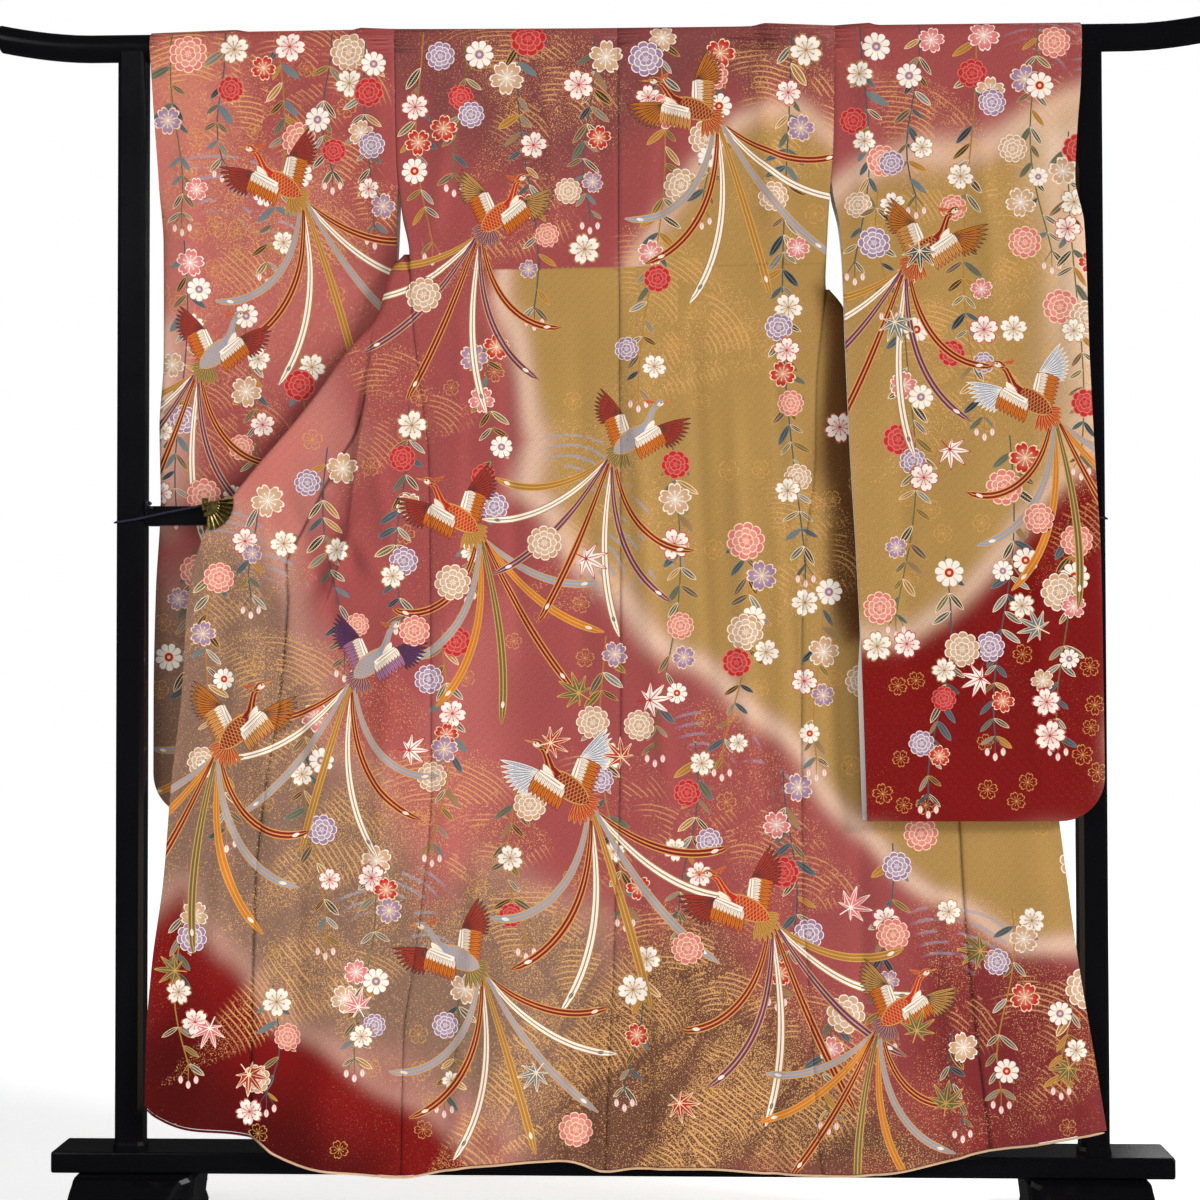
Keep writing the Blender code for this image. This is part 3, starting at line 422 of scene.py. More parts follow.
def sleeve_edges(side, z, layer):
    """The inner and the outer edge of one layer of a sleeve."""
    sleeve = SLEEVE_LEFT if side == "left" else SLEEVE_RIGHT
    outwards = OUT[side]
    inner = np.where(z > SLEEVE_JOIN - 1, read(BACK, side, z), read(sleeve, "inner", z))
    outer = read(sleeve, "outer", z)
    if layer > 0:
        limit = 656.0 + 20.0 * np.clip((CUFF_LOW - z) / 30, 0, 1)
        outer = outwards * np.minimum(np.abs(outer), limit)
    if layer > 0 and side == "right":
        inner = inner - 6.0 * np.clip((850 - z) / 60, 0, 1)
    rise = np.clip(z - SLEEVE_BOTTOM, 0, SLEEVE_CORNER)
    pull = SLEEVE_CORNER - np.sqrt(SLEEVE_CORNER**2 - (SLEEVE_CORNER - rise) ** 2)
    return inner, outer - outwards * pull


def hang_sleeve(side, layer, x, b):
    """Where one layer of a sleeve's bag hangs: -1 is the sleeve's back and 1 its front."""
    sleeve = SLEEVE_LEFT if side == "left" else SLEEVE_RIGHT
    outwards = OUT[side]
    z = np.minimum(b, BAR_HEIGHT)
    inner, outer = sleeve_edges(side, z, layer)
    share = np.clip((x - inner) / (outer - inner), 0, 1)
    mid = read(sleeve, "mid_in", z) * (1 - share) + read(sleeve, "mid_out", z) * share
    half = read(sleeve, "half_in", z) * (1 - share) + read(sleeve, "half_out", z) * share
    shut_side = np.clip((CUFF_LOW - z) / 70, 0, 1)
    near = np.sqrt(1 - (1 - np.clip((outer - x) * outwards / 45, 0, 1)) ** 2)
    low = np.sqrt(1 - (1 - np.clip((z - SLEEVE_BOTTOM) / 45, 0, 1)) ** 2)
    least = SILK / 2 + 0.05
    half = least + (half - least) * (1 - shut_side * (1 - near)) * low
    folds = fold_shape(SLEEVE_FOLDS, x, z) + 0.8 * fold_shape(SLEEVE_CREASES, x, z)
    ripple = 1.4 * np.exp(-(((z - 866 - 0.05 * x) / 9) ** 2)) if side == "right" else 0.0
    folds = (folds + ripple) * np.clip((1695 - z) / 60, 0, 1)
    y = mid + layer * half - folds
    y = y - layer * seam_dip(x - inner) * (z > SLEEVE_JOIN)
    return over_bar(layer, x, b, y)


def depth_inside(polygon, a, b):
    """How deep points lie inside a closed polygon; negative outside."""
    start = np.asarray(polygon, float)
    step = np.roll(start, -1, axis=0) - start
    result = np.empty(len(a))
    for low in range(0, len(a), 4000):
        pa, pb = a[low : low + 4000, None], b[low : low + 4000, None]
        da, db = pa - start[:, 0], pb - start[:, 1]
        along = np.clip((da * step[:, 0] + db * step[:, 1]) / (step**2).sum(1), 0, 1)
        away = np.sqrt((da - along * step[:, 0]) ** 2 + (db - along * step[:, 1]) ** 2).min(axis=1)
        crosses = (db >= 0) != (pb - start[:, 1] - step[:, 1] >= 0)
        rise = np.where(step[:, 1] == 0, 1e-9, step[:, 1])
        odd = (crosses & (da < db / rise * step[:, 0])).sum(axis=1) % 2
        result[low : low + 4000] = np.where(odd == 1, away, -away)
    return result


# The dyed colours of the body, with one painted shadow among them (shade): name, width of the blurred edge, pale line
# along it, gold dust, outline
BODY_ZONES = (
    ("dusk", 60, 0.0, 0.2, """-400 1720; 20 1740; 345 1740; 300 1650; 120 1620; 40 1560; -80 1500;
        -250 1560"""),
    ("peach", 60, 0.1, 0.1, """-560 1110; -420 1240; -380 1130; -470 960; -600 1000"""),
    ("taupe", 55, 0.15, 0.5, """-660 1020; -540 1020; -450 900; -395 700; -265 560; -120 505; -10 450;
        50 330; 130 80; -70 80; -150 160; -320 250; -460 310; -540 410; -660 430"""),
    ("rose_light", 50, 0.0, 0.0, """-250 860; -150 900; -120 620; -250 480; -290 620"""),
    ("brown", 60, 0.0, 0.6, """10 420; 130 450; 220 340; 350 200; 560 110; 40 70; -120 80; -60 240"""),
    ("wine", 60, 0.0, 0.1, """420 430; 700 400; 730 100; 500 90; 410 260"""),
    ("gold", 30, 0.65, 0.1, """-150 1560; -140 1400; -150 1330; -128 1230; -95 1130; -110 1060; -50 990;
        20 900; 105 816; 190 758; 275 672; 345 576; 455 491; 582 435; 720 410; 760 900; 760 1560"""),
    # Painted shadow: the shade zone darkens the right front where the right sleeve's shadow falls on it.
    ("shade", 17, 0.0, 0.0, """300 1340; 352 1344; 366 1100; 370 850; 342 846; 320 950; 298 1090"""),
    ("deep_red", 32, 0.22, 0.0, """-690 420; -600 486; -545 400; -465 305; -325 225; -195 152; -120 60;
        -690 60"""),
    ("dark_red", 60, 0.0, 0.0, """-700 300; -600 330; -500 220; -330 110; -330 60; -700 60"""),
)
UPPER_ZONES = (
    BODY_ZONES[0],
    ("gold", 34, 0.55, 0.1, """60 1300; 52 1380; 84 1450; 125 1520; 190 1572; 270 1580; 350 1540; 760 1500;
        760 1300"""),
)
LEFT_SLEEVE_ZONES = (
    ("peach", 60, 0.0, 0.2, """-700 1690; -560 1700; -520 1500; -560 1280; -700 1200"""),
    ("rose_light", 60, 0.0, 0.5, """-600 1500; -400 1520; -330 1300; -480 1200; -600 1260"""),
    ("cream", 55, 0.0, 0.1, """-700 1300; -640 1290; -630 1150; -650 1020; -700 1010"""),
    ("taupe", 70, 0.1, 0.5, """-700 900; -600 930; -330 760; -300 560; -700 560"""),
)
RIGHT_SLEEVE_ZONES = (
    ("gold", 42, 0.6, 0.15, """300 1440; 372 1500; 450 1535; 540 1545; 640 1580; 720 1620; 720 700;
        300 700"""),
    ("cream", 70, 0.0, 0.1, """620 1560; 700 1560; 710 1150; 650 1120"""),
    ("deep_red", 34, 0.6, 0.0, """300 840; 413 846; 470 890; 555 960; 640 1060; 720 1150; 720 560; 300 560"""),
)
FAR_ZONES = (
    ("dusk", 60, 0.0, 0.2, """-400 1720; 420 1740; 300 1560; -80 1500; -250 1560"""),
    ("peach", 70, 0.1, 0.2, """-560 1110; -380 1300; -300 1130; -470 960; -600 1000"""),
    ("gold", 40, 0.4, 0.1, """150 1500; 330 1560; 720 1300; 720 1000; 250 1180"""),
)


def seam_shade(x, z):
    """How much painted shade darkens the ditch along the body's long seams at each place."""
    shade = np.zeros(len(x))
    for tab, name, dark, top in (
        (BACK, "left", 0.3, 1700), (BACK, "middle", 0.4, 1700), (BACK, "right", 0.3, 1700),
        (OPENED_LEFT, "overlap", 0.7, 1200), (OPENED_RIGHT, "overlap", 0.65, 1200),
    ):
        away = (x - read(tab, name, z)) / 2.3
        shade = np.maximum(shade, dark * np.exp(-(away**2)) * (z < top))
    return shade


def dyed_and_shaded(zones, x, b):
    """The ground colour at points of the drawing, painted shadow included, with the share of gold dust as a fourth
    number.
    """
    silk = bpy.context.scene.kimono_silk
    colour = np.tile(np.array(silk.rose), (len(x), 1))
    dust = np.zeros(len(x))
    pale = np.array(silk.cream)
    wander = 9 * np.sin(x / 61 + b / 97) + 6 * np.sin(x / 33 - b / 41 + 1.3)
    for name, blur, line, speckle, outline in zones:
        depth = depth_inside(rows_of(outline), x, b) + wander
        share = smooth_step((depth + blur) / (2 * blur))[:, None]
        colour = colour * (1 - share) + np.array(getattr(silk, name)) * share
        rim = (line * np.exp(-(((depth + blur * 0.1) / (0.56 * blur)) ** 2)))[:, None]
        colour = colour * (1 - rim) + pale * rim
        dust = dust * (1 - share[:, 0]) + speckle * share[:, 0]
    cloudy = 0.5 + 0.5 * np.sin(x / 83 + 1.7 * np.sin(b / 131)) * np.sin(b / 109 + 2.1)
    return np.column_stack([colour, np.clip(dust + 0.25 * cloudy * (dust < 0.3), 0, 1)])


class Drawing:
    """The painted shapes on one stretch of cloth, from the lowest to the topmost."""

    def __init__(self, seed):
        self.shapes = []
        self.waves = []
        self.spots = []
        self.chance = random.Random(seed)

    def shape(self, kind, points, origin, along, across, fill, edge, detail, narrows=0.0, span=(0.0, 1.0)):
        """One shape: its outline, and how a point becomes the drawing's own u and v."""
        corners = np.array(points, float)
        after = np.roll(corners, -1, axis=0)
        if (corners[:, 0] * after[:, 1] - after[:, 0] * corners[:, 1]).sum() < 0:
            corners = corners[::-1]
        facts = [*origin, *along, *across, narrows, *span, detail]
        clear = (*INKS[edge], 0.0)
        inks = [*((*INKS[fill], 1.0) if fill else clear), *INKS[edge], 1.0]
        self.shapes.append((kind, corners, facts, inks))

    def card(self, kind, centre, angle, half_length, half_width, outline, fill, edge, detail):
        """A shape drawn inside a flat outline given in its own u and v."""
        c, s = math.cos(angle), math.sin(angle)
        points = []
        for u, v in outline:
            a, b = u * half_length, v * half_width
            points.append((centre[0] + c * a - s * b, centre[1] + s * a + c * b))
        along = (c / half_length, s / half_length)
        across = (-s / half_width, c / half_width)
        self.shape(kind, points, centre, along, across, fill, edge, detail)

    def strip(self, path, widths, fill, edge, detail=0.0):
        """A band along a path, with a half width at each of its points."""
        points = [np.array(p, float) for p in path]
        normals = []
        for i in range(len(points)):
            along = points[min(i + 1, len(points) - 1)] - points[max(i - 1, 0)]
            along /= max(np.linalg.norm(along), 1e-6)
            normals.append(np.array([-along[1], along[0]]))
        for i in range(len(points) - 1):
            here, there = points[i], points[i + 1]
            w0, w1 = widths[i], widths[i + 1]
            step = there - here
            length = np.linalg.norm(step)
            across = np.array([-step[1], step[0]]) / length / w0
            corners = [here - normals[i] * w0, there - normals[i + 1] * w1]
            corners += [there + normals[i + 1] * w1, here + normals[i] * w0]
            span = (i / (len(points) - 1), (i + 1) / (len(points) - 1))
            along = step / length**2
            narrows = (w1 - w0) / w0
            self.shape("band", corners, here, along, across, fill, edge, detail, narrows, span)

    def leaf(self, centre, angle, half_length, half_width, fill, edge, detail=0.24):
        """A pointed leaf or feather."""
        self.card("leaf", centre, angle, half_length, half_width, LENS, fill, edge, detail)

    def flower(self, name, x, b, scale=1.0, spin=None):
        """A blossom of one of the sorts in FLOWERS."""
        kind, petals, radius, fill, edge = FLOWERS[name]
        radius *= scale * 1.13
        turned = self.chance.uniform(0, 2 * math.pi) if spin is None else spin
        outline = []
        for k in range(petals):
            middle = 2 * math.pi * (k + 0.5) / petals
            step = math.pi / petals
            if kind == "blossom":
                corners = ((-1.0, 0.64), (-0.5, 1.02), (0.5, 1.02))
            else:
                corners = ((-1.0, 0.99), (0.0, 1.02))
            for share, reach in corners:
                place = middle + share * step
                outline.append((reach * math.cos(place), reach * math.sin(place)))
        self.card(kind, (x, b), turned, radius, radius, outline, fill, edge, petals)
        self.spots.append((x, b, radius))

    def is_free(self, x, b, radius):
        return all((x - u) ** 2 + (b - v) ** 2 > (radius + r) ** 2 for u, v, r in self.spots)

    def wave(self, x, b, radius, start, sweep, strength):
        """A group of arcs round a point; the strength is negative for blue ones and over 1 for red ones."""
        rings = round(radius / (15 if strength < 0 else 7.5))
        code = rings + 0.9 * (strength - 1 if strength > 1 else abs(strength))
        code = -code if strength < 0 else code + 100 if strength > 1 else code
        self.waves.append((x, b, radius, start, sweep, code))

    def maple(self, x, b, radius, angle, fill, edge):
        """A maple leaf of seven pointed lobes with their veins."""
        lobes = ((0, 1.0), (40, 0.95), (80, 0.8), (124, 0.56))
        tips = [(math.radians(-a), r) for a, r in reversed(lobes[1:])] + [(math.radians(a), r) for a, r in lobes]
        outline = []
        for k, (turn, reach) in enumerate(tips):
            outline.append((turn - 0.19, reach * 0.6))
            outline.append((turn - 0.05, reach * 0.9))
            outline.append((turn, reach))
            outline.append((turn + 0.05, reach * 0.9))
            outline.append((turn + 0.19, reach * 0.6))
            if k < len(tips) - 1:
                outline.append(((turn + tips[k + 1][0]) / 2, 0.36))
        outline.append((math.pi, 0.12))
        for scale, ink in ((1.0, edge), (0.9, fill)):
            points = []
            for turn, reach in outline:
                r = radius * reach * scale
                points.append((x + r * math.cos(angle + turn), b + r * math.sin(angle + turn)))
            self.shape("band", points, (x, b), (0, 0), (0, 0), ink, ink, 0.0)
        for turn, reach in tips:
            far = radius * reach * 0.84
            tip = (x + far * math.cos(angle + turn), b + far * math.sin(angle + turn))
            self.strip([(x, b), tip], [0.7, 0.35], edge, edge)
        root = (x - radius * 0.55 * math.cos(angle), b - radius * 0.55 * math.sin(angle))
        self.strip([(x, b), root], [0.9, 0.7], edge, edge)
        self.spots.append((x, b, radius * 0.8))

    def spray(self, x, b, length, sway, mix=SPRAY_MIX, lush=1.0):
        """A hanging branch with its stem, leaves and blossoms."""
        chance = self.chance
        count = max(5, int(length / 24))
        phase = chance.uniform(0, 6.28)
        path = []
        for k in range(count + 1):
            s = k / count
            path.append((x + sway * math.sin(phase + s * 4.4) * (0.25 + s), b - length * s))
        stem = chance.choice(("olive", "slate", "old_gold"))
        self.strip(path, [1.0] * len(path), stem, stem)
        for k in range(1, count + 1):
            for side in (-1, 1):
                if chance.random() > 0.72 * lush:
                    continue
                size = chance.uniform(13, 21) * (1.0 - 0.25 * k / count)
                angle = math.radians(-90 + side * chance.uniform(28, 62))
                root = path[k]
                middle = (root[0] + size * math.cos(angle), root[1] + size * math.sin(angle))
                ink = chance.choice(("slate", "slate", "teal", "olive", "ink", "old_gold"))
                rim = chance.choice(("gold", "cream", "teal"))
                self.leaf(middle, angle, size, size * chance.uniform(0.24, 0.33), ink, rim)
        turn = chance.randrange(len(mix))
        side = 1
        k = 1
        while k < count:
            name = mix[turn % len(mix)]
            turn += chance.choice((1, 1, 2, 3))
            shrink = 1.0 - 0.28 * k / count
            at = path[k]
            away = side * chance.uniform(2, 26)
            self.flower(name, at[0] + away, at[1] + chance.uniform(-9, 9), shrink * chance.uniform(0.82, 1.12))
            side = side if chance.random() < 0.25 else -side
            k += chance.choice((1, 1, 2, 2, 3, 4)) if lush > 0.8 else 3
        for side in (-1, 0, 1):
            end = (path[-1][0] + side * 11, path[-1][1] - 24 + 7 * abs(side))
            self.strip([path[-1], end], [0.7, 0.5], stem, stem)
            self.leaf((end[0], end[1] - 5), -math.pi / 2, 6.0, 3.6, "white", "pink")

    def ribbon(self, start, first, last, length, width, fill, edge):
        """A long tail feather that hangs in one direction and curls round to another at its end."""
        steps = 20
        path = [start]
        for k in range(steps):
            s = (k + 0.5) / steps
            angle = first + (last - first) * s**1.7
            here = path[-1]
            path.append((here[0] + length / steps * math.cos(angle), here[1] + length / steps * math.sin(angle)))
        widths = []
        for k in range(steps + 1):
            s = k / steps
            blunt = math.sqrt(max(0.04, 1 - max(0.0, (s - 0.86) / 0.14) ** 2))
            widths.append(width * (0.35 + 0.65 * math.sin(min(s, 0.7) / 0.7 * math.pi / 2)) * blunt)
        self.strip(path, widths, fill, edge, 0.26)
        tip = path[-3]
        eye = "white" if fill != "white" else "slate"
        self.leaf(tip, last, width * 0.95, width * 0.42, eye, "cream", 0.1)

    def fan(self, root, first, last, count, reach, width, fill, edge, turn, put, size):
        """Feathers that spread from one root, the middle ones longest."""
        for k in range(count):
            share = k / (count - 1)
            angle = first + (last - first) * share
            long = reach * (0.74 + 0.26 * math.sin(math.pi * min(1.0, share * 0.75 + 0.3)))
            u = root[0] + long * 0.55 * math.cos(math.radians(angle))
            v = root[1] + long * 0.55 * math.sin(math.radians(angle))
            self.leaf(put(u, v), turn(angle), long * 0.5 * size, width * size, fill, edge, 0.2)

    def wing(self, shoulder, wrist, trail, tip, inks, turn, put, size):
        """A wing: long feathers fanned from the wrist, shorter ones along the arm, pale coverts over them."""
        outer, middle, inner = inks
        for k in range(10):
            share = k / 9
            angle = trail + (tip - trail) * (0.12 + 0.88 * share)
            long = 31 + 13 * share
            u = wrist[0] + long * 0.5 * math.cos(math.radians(angle))
            v = wrist[1] + long * 0.5 * math.sin(math.radians(angle))
            edge = "ink" if outer != "blue" else "white"
            self.leaf(put(u, v), turn(angle), long * 0.54 * size, 2.7 * size, outer, edge, 0.34)
        for row, (count, long, ink, edge) in enumerate(((8, 27, middle, "wine"), (9, 12, inner, "old_gold"))):
            for k in range(count):
                share = k / (count - 1)
                angle = trail + (tip - trail) * 0.1 * share
                root_u = shoulder[0] + (wrist[0] - shoulder[0]) * share
                root_v = shoulder[1] + (wrist[1] - shoulder[1]) * share
                u = root_u + long * 0.45 * math.cos(math.radians(angle))
                v = root_v + long * 0.45 * math.sin(math.radians(angle))
                width = (3.3 if row == 0 else 2.6) * size
                self.leaf(put(u, v), turn(angle), long * 0.56 * size, width, ink, edge, 0.28)
        arm = [put(*shoulder), put((shoulder[0] + wrist[0]) / 2, (shoulder[1] + wrist[1]) / 2), put(*wrist)]
        self.strip(arm, [3.4 * size, 3.8 * size, 2.6 * size], inner, "old_gold", 0.12)

    def bird(self, x, b, size, heading, mirror, inks, ribbons):
        """A long-tailed bird in flight. The heading is in degrees above level, facing right unless mirrored."""
        outer, middle, inner, body, tail = inks
        size *= 1.16
        lean = math.radians(heading)

        def put(u, v):
            u, v = u * size, v * size
            c, s = math.cos(lean), math.sin(lean)
            return (x + mirror * (c * u - s * v), b + s * u + c * v)

        def turn(angle):
            whole = math.radians(angle) + lean
            return whole if mirror > 0 else math.pi - whole

        for k, (first, last, length, ink) in enumerate(ribbons):
            start, end = (math.radians(a) if mirror > 0 else math.pi - math.radians(a) for a in (first, last))
            root = put(-33 - 1.5 * (k % 3), -9 + 1.6 * (k % 4))
            self.ribbon(root, start, end, length * size, 4.9 * size, ink, "gold" if ink != "white" else "old_gold")
        self.wing((-6, 4), (-2, 34), 186, 106, (outer, middle, inner), turn, put, size)
        self.fan((-20, -4), 268, 164, 9, 30, 2.8, tail, "gold", turn, put, size)
        self.card("scales", put(-4, 0), turn(12), 30 * size, 13 * size, LENS, body, "gold", 0.12)
        neck = [put(12, 4), put(22, 9), put(29, 17), put(36, 24), put(43, 27)]
        self.strip(neck, [8.2 * size, 6.0 * size, 4.2 * size, 3.6 * size, 3.4 * size], body, "gold", 0.16)
        self.leaf(put(20, 2), turn(38), 15 * size, 4.6 * size, "white", "cream", 0.1)
        self.leaf(put(46, 28), turn(4), 8.5 * size, 4.8 * size, body, "gold", 0.16)
        self.leaf(put(48, 27), turn(0), 5.2 * size, 3.0 * size, "white", "gold", 0.14)
        self.leaf(put(57, 26.5), turn(-8), 6.5 * size, 1.5 * size, "gold", "rust", 0.3)
        for k in range(3):
            self.leaf(put(39 - 3 * k, 34 + k), turn(140 - 14 * k), 6.0 * size, 1.3 * size, "red", "gold", 0.2)
        self.leaf(put(49.5, 28.3), turn(0), 1.1 * size, 1.1 * size, "ink", "ink", 0.0)
        self.wing((0, -3), (32, 2), -98, -10, (outer, middle, inner), turn, put, size)
        self.spots.append((x, b, 46 * size))


LENS = [(-1.0, 0.0), (-0.72, 0.68), (-0.25, 1.0), (0.25, 1.0), (0.72, 0.68), (1.0, 0.0)]
LENS = LENS + [(u, -v) for u, v in LENS[-2:0:-1]]
# First and last direction of each tail feather in degrees, its length and its colour
TAILS = (
    (
        (218, 158, 170, "wine"), (230, 180, 200, "white"), (241, 214, 225, "blue"),
        (252, 256, 235, "old_gold"), (262, 306, 235, "white"), (270, 342, 215, "wine"),
        (277, 372, 190, "blue"),
    ),
    (
        (214, 150, 165, "old_gold"), (226, 172, 195, "white"), (238, 204, 220, "purple"),
        (250, 240, 240, "wine"), (261, 290, 235, "white"), (270, 330, 215, "purple"),
        (278, 364, 180, "wine"),
    ),
    (
        (222, 168, 165, "blue"), (234, 192, 200, "orange"), (245, 230, 225, "wine"),
        (256, 276, 240, "olive"), (265, 316, 225, "orange"), (273, 350, 200, "blue"),
        (280, 384, 165, "wine"),
    ),
)
# Colours of a bird: the long, the middle and the short wing feathers, the body, the tail coverts
BIRDS = {
    "orange": ("orange", "gold", "white", "wine", "rust"),
    "red": ("rust", "orange", "white", "red", "old_gold"),
    "white": ("rust", "orange", "white", "blue", "olive"),
    "purple": ("purple", "mauve", "white", "blue", "purple"),
    "gold": ("gold", "orange", "white", "red", "purple"),
    "grey": ("blue", "orange", "white", "wine", "red"),
}


def waves_in(drawing, rows):
    """Groups of arcs: x, b, radius, first angle, sweep, and strength with its sign for the colour."""
    for x, b, radius, start, sweep, strength in rows_of(rows):
        drawing.wave(x - 60, b - 120, radius * 2.3, start + 5, 40, abs(strength) % 1 * 0.7)
        for k in range(2):
            reach = radius * (1.3 - 0.4 * k)
            drawing.wave(x + 74 * k, b - 30 * k, reach, start - 12 * k, sweep * 0.85, strength * 0.8)


def scatter(drawing, names, count, left, right, low, high, scale=1.0):
    """Single blossoms where nothing else is painted."""
    tries = 0
    placed = 0
    while placed < count and tries < count * 14:
        tries += 1
        x = drawing.chance.uniform(left, right)
        b = drawing.chance.uniform(low, high)
        name = drawing.chance.choice(names)
        radius = FLOWERS[name][2] * scale
        if drawing.is_free(x, b, radius * 0.9):
            drawing.flower(name, x, b, scale * drawing.chance.uniform(0.85, 1.1))
            if FLOWERS[name][3] is None:
                drawing.shapes.insert(0, drawing.shapes.pop())
            placed += 1


def body_drawing():
    """The painted design of the viewer's side of the body."""
    made = Drawing(11)
    waves_in(made, """
        -150 1590 120 25 120 0.8; 210 1545 110 20 110 0.9; -330 1150 90 30 110 0.6; 30 1270 120 10 110 0.8;
        -60 1020 100 20 110 -0.8; -480 700 120 30 115 0.8; -250 520 130 35 120 0.9; -120 330 130 30 120 0.9;
        -330 400 120 35 110 -0.8; 80 300 130 30 120 0.9; 190 480 110 25 110 0.7; 260 200 120 30 115 0.9;
        470 330 120 20 115 -0.7; 580 240 110 25 110 0.8; 240 950 90 20 100 0.6; -560 930 90 25 110 -0.7;
        -20 560 100 25 110 0.6; 130 640 90 25 110 -0.6
    """)
    for x, b, radius, start, sweep, strength in rows_of("""
        -640 210 330 22 30 0.8; -560 420 300 20 34 0.7; -330 -20 420 34 26 0.9; -180 120 360 30 28 0.7;
        -60 -60 420 36 26 0.9; 120 0 380 34 26 0.7; -500 620 260 20 34 1.5; -120 860 260 18 34 -0.7;
        -260 1330 240 20 36 0.6; 250 -60 360 34 30 1.5
    """):
        made.wave(x, b, radius, start, sweep, strength)
    for x, b, length, sway in rows_of("""
        -262 1712 300 14; -205 1700 190 12; -118 1718 400 20; -20 1705 250 14; 72 1720 520 22;
        150 1700 240 12; 262 1712 760 18; -176 1290 360 20; 92 1120 420 20; 188 1010 330 22;
        -285 1180 300 16; -395 1120 300 20; -560 960 380 18; -420 760 330 20; -232 860 300 16; 0 850 380 20;
        -335 560 300 18; 120 700 260 18; 250 660 300 20; -130 640 210 16; 395 560 260 16; 560 470 250 18;
        -600 480 230 14; -470 360 150 12; 40 420 200 14; -215 380 170 12; 310 340 150 12; 640 380 140 10;
        480 300 120 10; 300 940 260 10; -500 1060 150 10
    """):
        made.spray(x, b, length, sway)
    for k, (name, x, b, size, heading, mirror) in enumerate((
        ("orange", 118, 1600, 1.0, 8, -1), ("gold", -150, 1450, 0.95, 30, 1), ("red", -215, 1020, 1.0, 22, -1),
        ("purple", -330, 815, 0.95, 28, 1), ("white", 40, 1130, 0.95, 24, 1), ("orange", -520, 720, 1.05, 34, 1),
        ("grey", -60, 640, 1.1, 26, -1), ("red", 190, 470, 1.05, 14, -1), ("gold", 410, 330, 0.95, 26, 1),
        ("white", -215, 400, 1.0, 12, -1),
    )):
        made.bird(x, b, size, heading, mirror, BIRDS[name], TAILS[k % 3])
    leaves = made.chance
    for x, b in rows_of("""
        -30 960; 60 760; -560 300; -610 380; -505 235; -80 700; 20 680; -40 770; 430 300; 520 410; 340 470;
        -350 330; 470 200; 100 200; -280 690; 640 250; -100 240
    """):
        ink, rim = leaves.choice((("white", "red"), ("pink", "white"), ("teal", "cream"), ("olive", "gold"), ("rust", "cream")))
        made.maple(x, b, leaves.uniform(29, 36), leaves.uniform(0, 6.28), ink, rim)
    scatter(made, ("white_red", "pink_double", "white_cherry", "beige_double"), 26, -640, 680, 130, 1660, 0.95)
    scatter(made, ("gold_line",), 110, -650, 690, 110, 1700)
    return made


def right_sleeve_drawing():
    made = Drawing(23)
    waves_in(made, """
        400 1500 110 15 110 0.8; 560 1380 110 25 110 0.7; 430 1180 110 20 110 0.8; 600 1620 100 25 110 -0.7;
        640 1020 90 25 110 0.6
    """)
    for x, b, length, sway in rows_of("""
        362 1716 340 14; 440 1720 250 16; 520 1716 560 22; 610 1720 330 16; 655 1560 460 12; 420 1300 420 18;
        560 1130 420 20; 640 1010 300 14; 470 960 330 20; 385 1480 160 10
    """):
        made.spray(x, b, length, sway)
    for k, (name, x, b, size, heading, mirror) in enumerate((
        ("orange", 455, 1395, 1.0, 26, 1), ("grey", 590, 1180, 1.0, 20, -1),
    )):
        made.bird(x, b, size, heading, mirror, BIRDS[name], TAILS[k + 1])
    for x, b in rows_of("""
        405 1290; 480 1110; 440 1390; 600 860; 520 790
    """):
        ink, rim = made.chance.choice((("white", "red"), ("slate", "cream"), ("teal", "cream")))
        made.maple(x, b, 32, made.chance.uniform(0, 6.28), ink, rim)
    scatter(made, ("white_cherry", "pink_double", "white_red"), 8, 370, 670, 700, 1660, 0.95)
    scatter(made, ("gold_line",), 42, 370, 690, 610, 1560)
    return made


def left_sleeve_drawing():
    made = Drawing(37)
    waves_in(made, """
        -600 1560 130 25 120 0.9; -470 1620 110 20 110 0.7; -560 1400 120 20 115 -0.8;
        -420 1440 100 30 110 0.8; -600 1150 90 20 110 0.6; -480 800 110 30 110 0.8
    """)
    for x, b, length, sway in rows_of("""
        -620 1720 260 12; -548 1716 180 10; -470 1720 330 16; -395 1716 200 12; -342 1700 260 8;
        -610 1420 380 14; -520 1330 300 16; -440 1260 300 16; -600 980 280 12; -420 900 260 14
    """):
        made.spray(x, b, length, sway)
    for k, (name, x, b, size, heading, mirror) in enumerate((
        ("red", -470, 1500, 1.0, 20, -1), ("white", -560, 1262, 0.95, 30, 1), ("gold", -470, 780, 0.95, 25, 1),
    )):
        made.bird(x, b, size, heading, mirror, BIRDS[name], TAILS[k % 3])
    scatter(made, ("white_cherry", "pink_double", "white_red", "beige_double"), 8, -640, -330, 700, 1680, 0.95)
    scatter(made, ("gold_line",), 36, -650, -330, 610, 1690)
    return made


